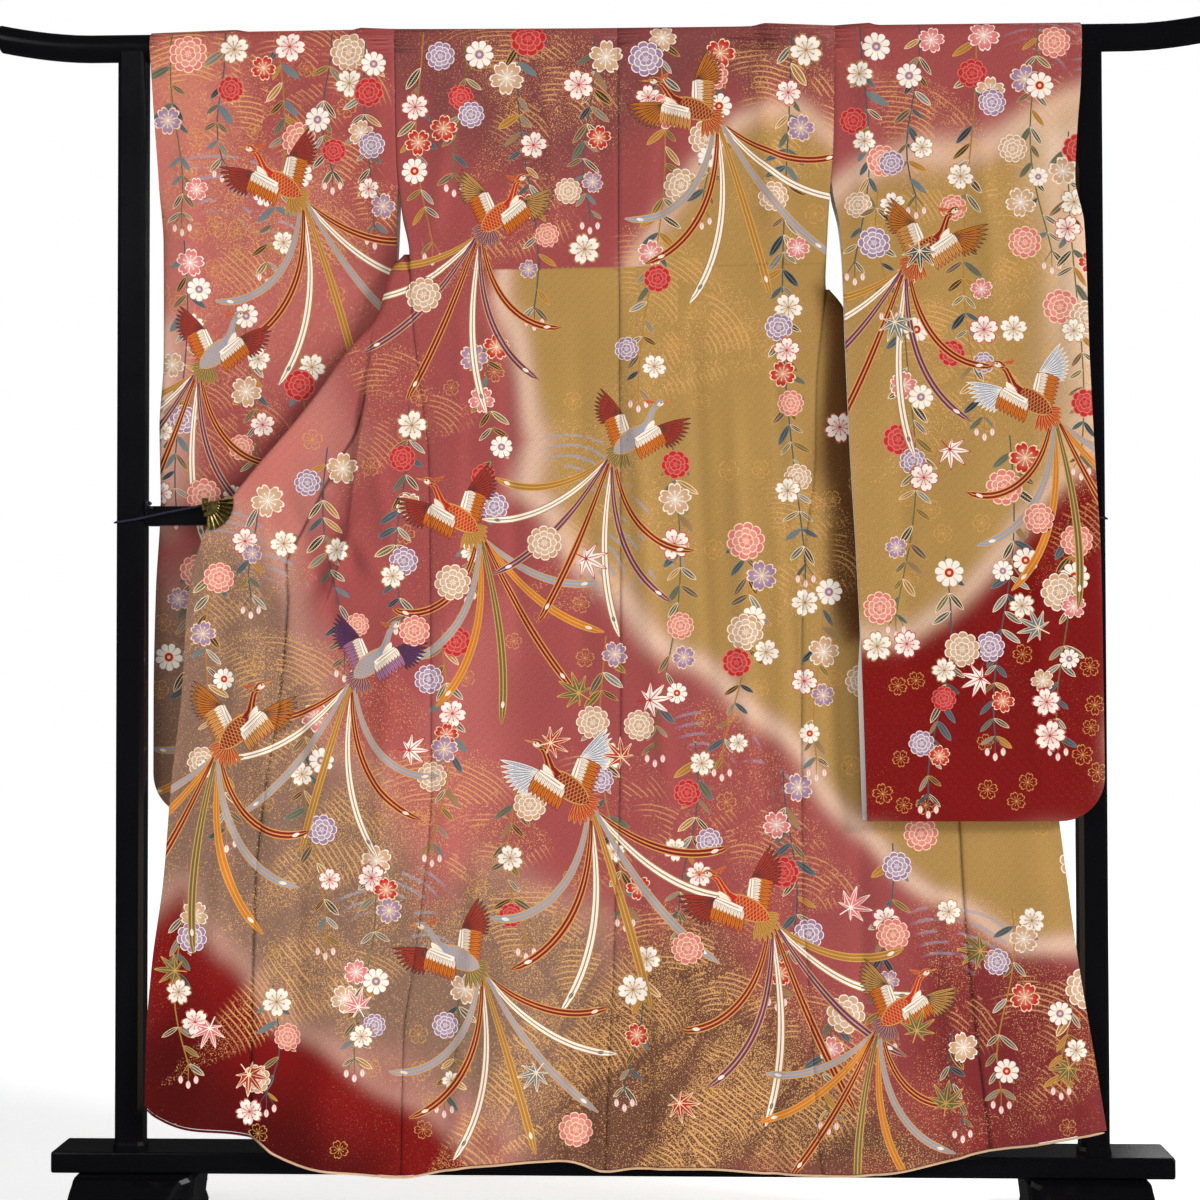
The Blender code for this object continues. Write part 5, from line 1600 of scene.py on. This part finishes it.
def make_sleeve(side, layer, drawing, zones):
    """One layer of one sleeve: -1 is its back and 1 its front."""
    out = OUT[side]
    far = []
    for turn in np.linspace(0, math.pi / 2, 12)[:-1]:
        b = SLEEVE_BOTTOM + SLEEVE_CORNER * (1 - math.cos(turn))
        whole = sleeve_edges(side, np.array([SLEEVE_BOTTOM + SLEEVE_CORNER + 1.0]), layer)[1][0]
        far.append((whole - out * SLEEVE_CORNER * (1 - math.sin(turn)), b))
    straight = side_line(lambda z: sleeve_edges(side, z, layer)[1], SLEEVE_BOTTOM + SLEEVE_CORNER, TOP)
    far = np.concatenate([np.array(far), straight])
    near = side_line(lambda z: sleeve_edges(side, z, layer)[0] + out * GAP, SLEEVE_BOTTOM, TOP)
    outline = closed_outline(far, near) if side == "left" else closed_outline(near, far)
    name = "sleeve_" + side + ("_back" if layer < 0 else "_front")
    place = functools.partial(hang_sleeve, side, layer)
    spacing = None if layer < 0 else FAR_SPACING
    cloth(name, outline, place, -layer, drawing, zones, "sleeve_lining", ROLLED, spacing)


def lacquer_material():
    """Black lacquer with a faint film of dust and fine wipe marks."""
    paint = Paint("black_lacquer_coat", roughness=0.2, coat_weight=0.25, coat_roughness=0.05, specular_ior_level=0.5)
    where, (x, _, z) = paint.place()
    film = paint.noise(where, 6.0, 4.0)
    marks = paint.noise(where, 90.0, 3.0)
    colour = paint.mix(film * 0.5, (0.002, 0.002, 0.0026), (0.006, 0.006, 0.008))
    return paint.finish(colour, 0.1 + film * 0.08 + marks * 0.05, marks, 0.00002)


def brass_material():
    """Aged brass with worn patches, and painted shade darkening its grooves."""
    paint = Paint("aged_brass_groove_shaded", metallic=1.0, roughness=0.4)
    where, _ = paint.place()
    worn = paint.noise(where, 160.0, 3.0)
    # Painted shade: an ambient occlusion node darkens the colour in the fan's grooves.
    painted_groove_shade = paint.node("ShaderNodeAmbientOcclusion", {"samples": 8}, {"Distance": 0.003}, 1).rising(0.55, 0.95)
    aged = paint.mix(worn.rising(0.35, 0.65), (0.16, 0.11, 0.03), (0.4, 0.3, 0.1))
    colour = paint.mix(painted_groove_shade, (0.025, 0.018, 0.004), aged)
    return paint.finish(colour, 0.46 - worn * 0.2, worn, 0.00006)


def cord_material():
    """A thin braided cord."""
    paint = Paint("purple_braid", roughness=0.75, sheen_weight=0.05)
    where, (x, y, z) = paint.place()
    strands = ((x + z) * 5200).math("SINE") * ((x - z) * 5200).math("SINE")
    colour = paint.mix(strands * 0.5 + 0.5, (0.004, 0.002, 0.012), (0.022, 0.012, 0.045))
    return paint.finish(colour, 0.8 - strands * 0.1, strands, 0.0002)


def floor_material():
    paint = Paint("pale_floor", roughness=0.6, emission_color=(1.0, 1.0, 1.0, 1.0), emission_strength=0.62)
    where, _ = paint.place()
    colour = paint.mix(paint.noise(where, 3.0), (0.92, 0.918, 0.915), (0.95, 0.948, 0.945))
    return paint.finish(colour, 0.55 + paint.noise(where, 12.0) * 0.1)


def repaint(node, material):
    """Gives a carried-over solid its better material."""
    piece = frame["nodes"][node]
    piece.data.materials.clear()
    piece.data.materials.append(material)


def tube(name, path, radius, material, node, sides=16):
    """A closed round tube along points in millimetres."""
    built = bmesh.new()
    rings = []
    points = [np.array(p, float) for p in path]
    side_way = None
    for i, here in enumerate(points):
        along = points[min(i + 1, len(points) - 1)] - points[max(i - 1, 0)]
        along /= np.linalg.norm(along)
        if side_way is None:
            side_way = np.cross(along, (0.3, 1.0, 0.2))
        side_way = side_way - along * side_way.dot(along)
        side_way /= np.linalg.norm(side_way)
        other = np.cross(along, side_way)
        end = min(i, len(points) - 1 - i)
        r = radius * (0.35 if end == 0 else 0.85 if end == 1 else 1.0)
        turns = [2 * math.pi * k / sides for k in range(sides)]
        ring = [here + r * (side_way * math.cos(t) + other * math.sin(t)) for t in turns]
        rings.append([built.verts.new(Vector(p) * MM) for p in ring])
    for low, high in zip(rings, rings[1:]):
        for k in range(sides):
            built.faces.new((low[k], low[(k + 1) % sides], high[(k + 1) % sides], high[k]))
    built.faces.new(rings[0][::-1])
    built.faces.new(rings[-1])
    bmesh.ops.recalc_face_normals(built, faces=built.faces)
    for face in built.faces:
        face.smooth = len(face.verts) == 4
    mesh = bpy.data.meshes.new(name)
    built.to_mesh(mesh)
    built.free()
    mesh.materials.append(material)
    piece = bpy.data.objects.new(name, mesh)
    bpy.context.scene.collection.objects.link(piece)
    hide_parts(node)
    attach(piece, "root")
    return piece


def deselect():
    if bpy.context.object and bpy.context.object.mode != "OBJECT":
        bpy.ops.object.mode_set(mode="OBJECT")
    bpy.ops.object.select_all(action="DESELECT")


def bar_rise(x):
    """How far the bar's ends curve upwards, in millimetres."""
    past = max(0.0, (abs(x) - BAR_BEND_START) / (BAR_HALF_LENGTH - BAR_BEND_START))
    return BAR_BEND_RISE * past**1.7


def make_bar(material):
    """The round bar, extruded station by station with its ends turned up."""
    deselect()
    ends = [BAR_HALF_LENGTH - d for d in (0, 2, 6, 20, 35, 52, 70, 90, 110, 131)]
    stations = [-x for x in ends] + [0.0] + ends[::-1]
    bpy.ops.mesh.primitive_circle_add(
        vertices=48,
        radius=BAR_RADIUS * MM,
        fill_type="NGON",
        location=(stations[0] * MM, POST_Y * MM, (BAR_HEIGHT + bar_rise(stations[0])) * MM),
        rotation=(0, math.pi / 2, 0),
    )
    piece = bpy.context.object
    piece.name = "silk_bar"
    bpy.ops.object.transform_apply(location=True, rotation=True, scale=True)
    bpy.ops.object.mode_set(mode="EDIT")
    bpy.ops.mesh.select_mode(type="FACE")
    bpy.ops.mesh.select_all(action="SELECT")
    for here, there in zip(stations, stations[1:]):
        step = ((there - here) * MM, 0.0, (bar_rise(there) - bar_rise(here)) * MM)
        bpy.ops.mesh.extrude_region_move(TRANSFORM_OT_translate={"value": step})
    bpy.ops.mesh.select_all(action="SELECT")
    bpy.ops.mesh.normals_make_consistent(inside=False)
    bpy.ops.object.mode_set(mode="OBJECT")
    edge = piece.modifiers.new("rounded_ends", "BEVEL")
    edge.width = 3 * MM
    edge.segments = 3
    edge.limit_method = "ANGLE"
    edge.angle_limit = math.radians(60)
    bpy.ops.object.modifier_apply(modifier=edge.name)
    bpy.ops.object.shade_smooth_by_angle(angle=math.radians(40))
    piece.data.materials.append(material)
    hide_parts("top_bar")
    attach(piece, "root")
    return piece


def select_where(piece, wanted):
    """In edit mode, selects the vertices that a test picks by their place."""
    bpy.ops.mesh.select_all(action="DESELECT")
    bpy.ops.object.mode_set(mode="OBJECT")
    for vertex in piece.data.vertices:
        vertex.select = bool(wanted(vertex.co))
    bpy.ops.object.mode_set(mode="EDIT")
    bpy.ops.mesh.select_mode(type="VERT")


def block(low, high):
    """A small block between two corners, its edges rounded."""
    middle = [(a + b) / 2 for a, b in zip(low, high)]
    deselect()
    bpy.ops.mesh.primitive_cube_add(size=1.0, location=middle)
    piece = bpy.context.object
    piece.scale = [abs(b - a) for a, b in zip(low, high)]
    bpy.ops.object.transform_apply(location=True, rotation=True, scale=True)
    edge = piece.modifiers.new("rounded", "BEVEL")
    edge.width = 0.5 * MM
    edge.segments = 2
    bpy.ops.object.modifier_apply(modifier=edge.name)
    return piece


def make_clip(side, material):
    """The brass clip: a ribbed fan over the fold, and the joint and tongue that grip it from behind."""
    out = OUT[side]
    low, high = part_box("clip_" + side)
    ahead, behind = low[1], high[1]
    pivot = (out * 0.569, ahead + FAN_THICK / 2, CLIP_HEIGHT * MM)
    deselect()
    first = (FAN_RADII[0] + FAN_RADII[1]) / 2
    bpy.ops.mesh.primitive_plane_add(size=1.0, location=(pivot[0] - out * first, pivot[1], pivot[2]))
    fan = bpy.context.object
    fan.name = "fan_clip_" + side
    fan.scale = (FAN_RADII[1] - FAN_RADII[0], FAN_THICK, 1.0)
    bpy.ops.object.transform_apply(location=True, rotation=True, scale=True)
    bpy.ops.object.mode_set(mode="EDIT")
    for here, there in zip(FAN_RADII[1:], FAN_RADII[2:]):
        select_where(fan, lambda c, r=here: abs(abs(c.x - pivot[0]) - r) < 0.0001)
        step = (-out * (there - here), 0.0, 0.0)
        bpy.ops.mesh.extrude_region_move(TRANSFORM_OT_translate={"value": step})
    bpy.ops.mesh.select_all(action="SELECT")
    start, sweep = math.radians(16), math.radians(106)
    bpy.ops.mesh.spin(steps=1, angle=-start * out, center=pivot, axis=(0, 1, 0))
    bpy.ops.mesh.select_all(action="INVERT")
    bpy.ops.mesh.delete(type="VERT")
    bpy.ops.mesh.select_all(action="SELECT")
    bpy.ops.mesh.spin(steps=FAN_RIBS * 2, angle=sweep * out, center=pivot, axis=(0, 1, 0))

    def step_of(c):
        angle = math.atan2(c.z - pivot[2], -out * (c.x - pivot[0]))
        return round((start - angle) / sweep * FAN_RIBS * 2)

    def reach(c):
        return math.hypot(c.x - pivot[0], c.z - pivot[2])

    select_where(fan, lambda c: step_of(c) % 2 == 0 and reach(c) > FAN_RADII[2] and c.y < pivot[1])
    bpy.ops.transform.translate(value=(0, 0.0011, 0))
    select_where(fan, lambda c: step_of(c) % 2 == 1 and reach(c) > FAN_RADII[-2] + 0.001)
    bpy.ops.transform.resize(value=(1.03, 1.0, 1.03), center_override=pivot)
    bpy.ops.mesh.select_all(action="SELECT")
    bpy.ops.mesh.remove_doubles(threshold=0.00001)
    bpy.ops.mesh.normals_make_consistent(inside=False)
    bpy.ops.object.mode_set(mode="OBJECT")
    x, z = pivot[0], pivot[2]
    joint = block((x + out * 0.0005, ahead + 0.0012, z - 0.010), (x + out * 0.007, behind - 0.0009, z + 0.008))
    tongue = block((x + out * 0.007, behind - 0.0018, z - 0.018), (x - out * 0.03, behind, z + 0.004))
    deselect()
    bpy.ops.mesh.primitive_cylinder_add(
        vertices=24, radius=0.0042, depth=FAN_THICK + 0.0008, location=pivot, rotation=(math.pi / 2, 0, 0)
    )
    pin = bpy.context.object
    bpy.ops.object.transform_apply(location=True, rotation=True, scale=True)
    dome = pin.modifiers.new("domed", "BEVEL")
    dome.width = 0.0012
    dome.segments = 3
    bpy.ops.object.modifier_apply(modifier=dome.name)
    deselect()
    for piece in (joint, tongue, pin, fan):
        piece.select_set(True)
    bpy.context.view_layer.objects.active = fan
    bpy.ops.object.join()
    fan.data.materials.clear()
    fan.data.materials.append(material)
    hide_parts("clip_" + side)
    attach(fan, "root")
    return fan


def make_hem_roll(material):
    """The padded lining that shows as a pale roll under the hem."""
    points = []
    for name in ("overlap_left", "front_left", "back_left", "back_right", "front_right", "overlap_right"):
        piece = bpy.data.objects["silk_" + name]
        flat = np.array([v.co for v in piece.data.vertices]) / MM
        low = flat[np.abs(flat[:, 2] - hem_height(flat[:, 0])) < 1.2]
        points.append(low)
    points = np.concatenate(points)
    points = points[np.argsort(points[:, 0])]
    line = []
    for x in np.arange(points[0, 0] + 1, points[-1, 0] - 1, 5.0):
        near = points[np.abs(points[:, 0] - x) < 6]
        if len(near):
            line.append((x, near[:, 1].mean(), float(hem_height(x)) - 2.5))
    return tube("hem_roll", line, 1.7, material, "hem_edge", 10)


def dye(name, description, red, green, blue):
    """A colour that can be set in the sidebar."""
    return bpy.props.FloatVectorProperty(
        name=name, description=description, subtype="COLOR", default=srgb(red, green, blue)
    )


class KimonoSilk(bpy.types.PropertyGroup):
    """The colours of the dyed silk, with one painted shadow (shade), and the sizes of its weave and mesh."""

    rose: dye("Rose", "Ground of the body", 156, 73, 71)
    dusk: dye("Dusk", "Darker rose at the top", 126, 65, 64)
    peach: dye("Peach", "Salmon patches", 188, 107, 96)
    taupe: dye("Taupe", "Greyed brown band", 131, 99, 83)
    rose_light: dye("Light rose", "Paler rose", 177, 94, 89)
    brown: dye("Brown", "Brownish rose low down", 104, 66, 51)
    wine: dye("Wine", "Darker rose at the lower right", 124, 39, 41)
    gold: dye("Gold", "Gold over the right half", 170, 132, 73)
    deep_red: dye("Deep red", "Red of the sleeve's lower half", 122, 9, 7)
    dark_red: dye("Dark red", "Red at the lower left", 80, 3, 2)
    # Shade is a painted shadow, not a dye: the right sleeve's shadow on the right front beside the side seam.
    shade: dye("Shade", "Brownish gold at the side seam", 98, 62, 28)
    cream: dye("Cream", "Pale line where two colours meet", 234, 200, 176)
    lining: dye("Lining", "Silk lining of the upper body", 236, 228, 218)
    hem_lining: dye("Hem lining", "Lining near the hem", 226, 200, 170)
    sleeve_lining: dye("Sleeve lining", "Lining of the sleeves", 178, 166, 172)
    mesh_size: bpy.props.FloatProperty(
        name="Mesh size", description="Distance between points of the cloth", default=0.008, unit="LENGTH"
    )
    fret_size: bpy.props.FloatProperty(
        name="Fret size", description="Repeat of the woven key pattern", default=0.0135, unit="LENGTH"
    )


class KimonoStage(bpy.types.PropertyGroup):
    """The camera, floor and light."""

    lens: bpy.props.FloatProperty(name="Lens", description="Focal length in millimetres", default=63.417)
    key_power: bpy.props.FloatProperty(name="Key light", description="Strength of the sun from the right", default=2.75)
    fill_power: bpy.props.FloatProperty(name="Fill light", description="Power of the soft light from the left", default=58.0)
    world: bpy.props.FloatProperty(name="World", description="Strength of the even light", default=0.15)


class KIMONO_OT_body(bpy.types.Operator):
    """Cuts and hangs the back, the fronts, their overlaps and the collar."""

    bl_idname = "kimono.body"
    bl_label = "Body and collar"

    def execute(self, context):
        drawing = body_drawing()
        make_back(drawing)
        make_opened("left", drawing)
        make_opened("right", drawing)
        far = far_drawing()
        make_turned("left", far)
        make_turned("right", far)
        make_neck(far)
        make_hem_roll(hem_material())
        return {"FINISHED"}


class KIMONO_OT_sleeves(bpy.types.Operator):
    """Cuts and hangs both layers of both sleeves."""

    bl_idname = "kimono.sleeves"
    bl_label = "Sleeves"

    def execute(self, context):
        far = far_drawing()
        make_sleeve("left", -1, left_sleeve_drawing(), LEFT_SLEEVE_ZONES)
        make_sleeve("left", 1, far, LEFT_SLEEVE_ZONES)
        make_sleeve("right", -1, right_sleeve_drawing(), RIGHT_SLEEVE_ZONES)
        make_sleeve("right", 1, far, RIGHT_SLEEVE_ZONES)
        return {"FINISHED"}


class KIMONO_OT_stand(bpy.types.Operator):
    """Builds the lacquered bar and repaints the solids of the stand."""

    bl_idname = "kimono.stand"
    bl_label = "Stand and clips"

    def execute(self, context):
        lacquer = lacquer_material()
        make_bar(lacquer)
        for node in ("upright_left", "upright_right", "mid_rail", "base_plank", "foot_left", "foot_right"):
            repaint(node, lacquer)
        brass = brass_material()
        braid = cord_material()
        for side in ("left", "right"):
            make_clip(side, brass)
            repaint("cord_" + side, braid)
        return {"FINISHED"}


class KIMONO_OT_stage(bpy.types.Operator):
    """Adds the camera, the pale floor and soft light."""

    bl_idname = "kimono.stage"
    bl_label = "Camera, floor and light"

    def execute(self, context):
        stage = context.scene.kimono_stage
        deselect()
        bpy.ops.mesh.primitive_plane_add(size=16.0, location=(0, 0, -0.0005))
        floor = context.object
        floor.name = "floor"
        floor.data.materials.append(floor_material())
        floor.visible_glossy = False
        camera = bpy.data.objects.new("camera", bpy.data.cameras.new("camera"))
        context.scene.collection.objects.link(camera)
        camera.data.lens = stage.lens
        camera.data.sensor_width = 36.0
        camera.data.clip_start = 0.05
        yaw, pitch, roll = -0.03293, 0.02354, -0.00204
        forward = Vector((math.sin(yaw) * math.cos(pitch), math.cos(yaw) * math.cos(pitch), math.sin(pitch)))
        right = Vector((math.cos(yaw), -math.sin(yaw), 0.0))
        up = right.cross(forward)
        right_rolled = right * math.cos(roll) + up * math.sin(roll)
        up_rolled = up * math.cos(roll) - right * math.sin(roll)
        turned = Matrix((right_rolled, up_rolled, -forward)).transposed()
        camera.matrix_world = Matrix.Translation((0.0883, -3.0309, 0.8310)) @ turned.to_4x4()
        context.scene.camera = camera
        world = bpy.data.worlds.new("even_light")
        world.use_nodes = True
        tree = world.node_tree
        paper = tree.nodes["Background"]
        glow = tree.nodes.new("ShaderNodeBackground")
        glow.inputs["Strength"].default_value = stage.world
        glow.inputs["Color"].default_value = (0.95, 0.97, 1.0, 1.0)
        paper.inputs["Color"].default_value = (1.0, 1.0, 1.0, 1.0)
        dim = tree.nodes.new("ShaderNodeBackground")
        dim.inputs["Strength"].default_value = stage.world * 0.2
        seen = tree.nodes.new("ShaderNodeLightPath")
        mirrored = tree.nodes.new("ShaderNodeMixShader")
        tree.links.new(seen.outputs["Is Glossy Ray"], mirrored.inputs[0])
        tree.links.new(glow.outputs[0], mirrored.inputs[1])
        tree.links.new(dim.outputs[0], mirrored.inputs[2])
        chosen = tree.nodes.new("ShaderNodeMixShader")
        tree.links.new(seen.outputs["Is Camera Ray"], chosen.inputs[0])
        tree.links.new(mirrored.outputs[0], chosen.inputs[1])
        tree.links.new(paper.outputs[0], chosen.inputs[2])
        tree.links.new(chosen.outputs[0], tree.nodes["World Output"].inputs["Surface"])
        context.scene.world = world
        context.scene.view_settings.view_transform = "Standard"
        for name, kind, place, size, power in (
            ("key", "SUN", (6.0, -3.6, 4.6), 0.25, stage.key_power),
            ("fill", "AREA", (-3.4, -3.8, 2.6), 2.2, stage.fill_power),
            ("rear", "AREA", (2.6, 4.2, 2.6), 2.2, stage.fill_power),
        ):
            light = bpy.data.objects.new(name, bpy.data.lights.new(name, kind))
            context.scene.collection.objects.link(light)
            light.data.energy = power
            if kind == "SUN":
                light.data.angle = size
            else:
                light.data.size = size
            light.location = place
            aim = Vector((0, 0, 0.9)) - Vector(place)
            light.rotation_euler = aim.to_track_quat("-Z", "Y").to_euler()
        return {"FINISHED"}


class KIMONO_PT_panel(bpy.types.Panel):
    """Lists the steps of the kimono in the sidebar."""

    bl_label = "Furisode kimono"
    bl_idname = "KIMONO_PT_panel"
    bl_space_type = "VIEW_3D"
    bl_region_type = "UI"
    bl_category = "Kimono"

    def draw(self, context):
        for step in (KIMONO_OT_body, KIMONO_OT_sleeves, KIMONO_OT_stand, KIMONO_OT_stage):
            self.layout.operator(step.bl_idname)
        for group in (context.scene.kimono_silk, context.scene.kimono_stage):
            for key in group.__annotations__:
                self.layout.prop(group, key)


CLASSES = (
    KimonoSilk,
    KimonoStage,
    KIMONO_OT_body,
    KIMONO_OT_sleeves,
    KIMONO_OT_stand,
    KIMONO_OT_stage,
    KIMONO_PT_panel,
)


def register():
    for made in CLASSES:
        bpy.utils.register_class(made)
    bpy.types.Scene.kimono_silk = bpy.props.PointerProperty(type=KimonoSilk)
    bpy.types.Scene.kimono_stage = bpy.props.PointerProperty(type=KimonoStage)


def unregister():
    del bpy.types.Scene.kimono_stage
    del bpy.types.Scene.kimono_silk
    for made in reversed(CLASSES):
        bpy.utils.unregister_class(made)


def main():
    register()
    bpy.ops.kimono.stage()
    bpy.ops.kimono.stand()
    bpy.ops.kimono.body()
    bpy.ops.kimono.sleeves()


if __name__ == "__main__":
    main()
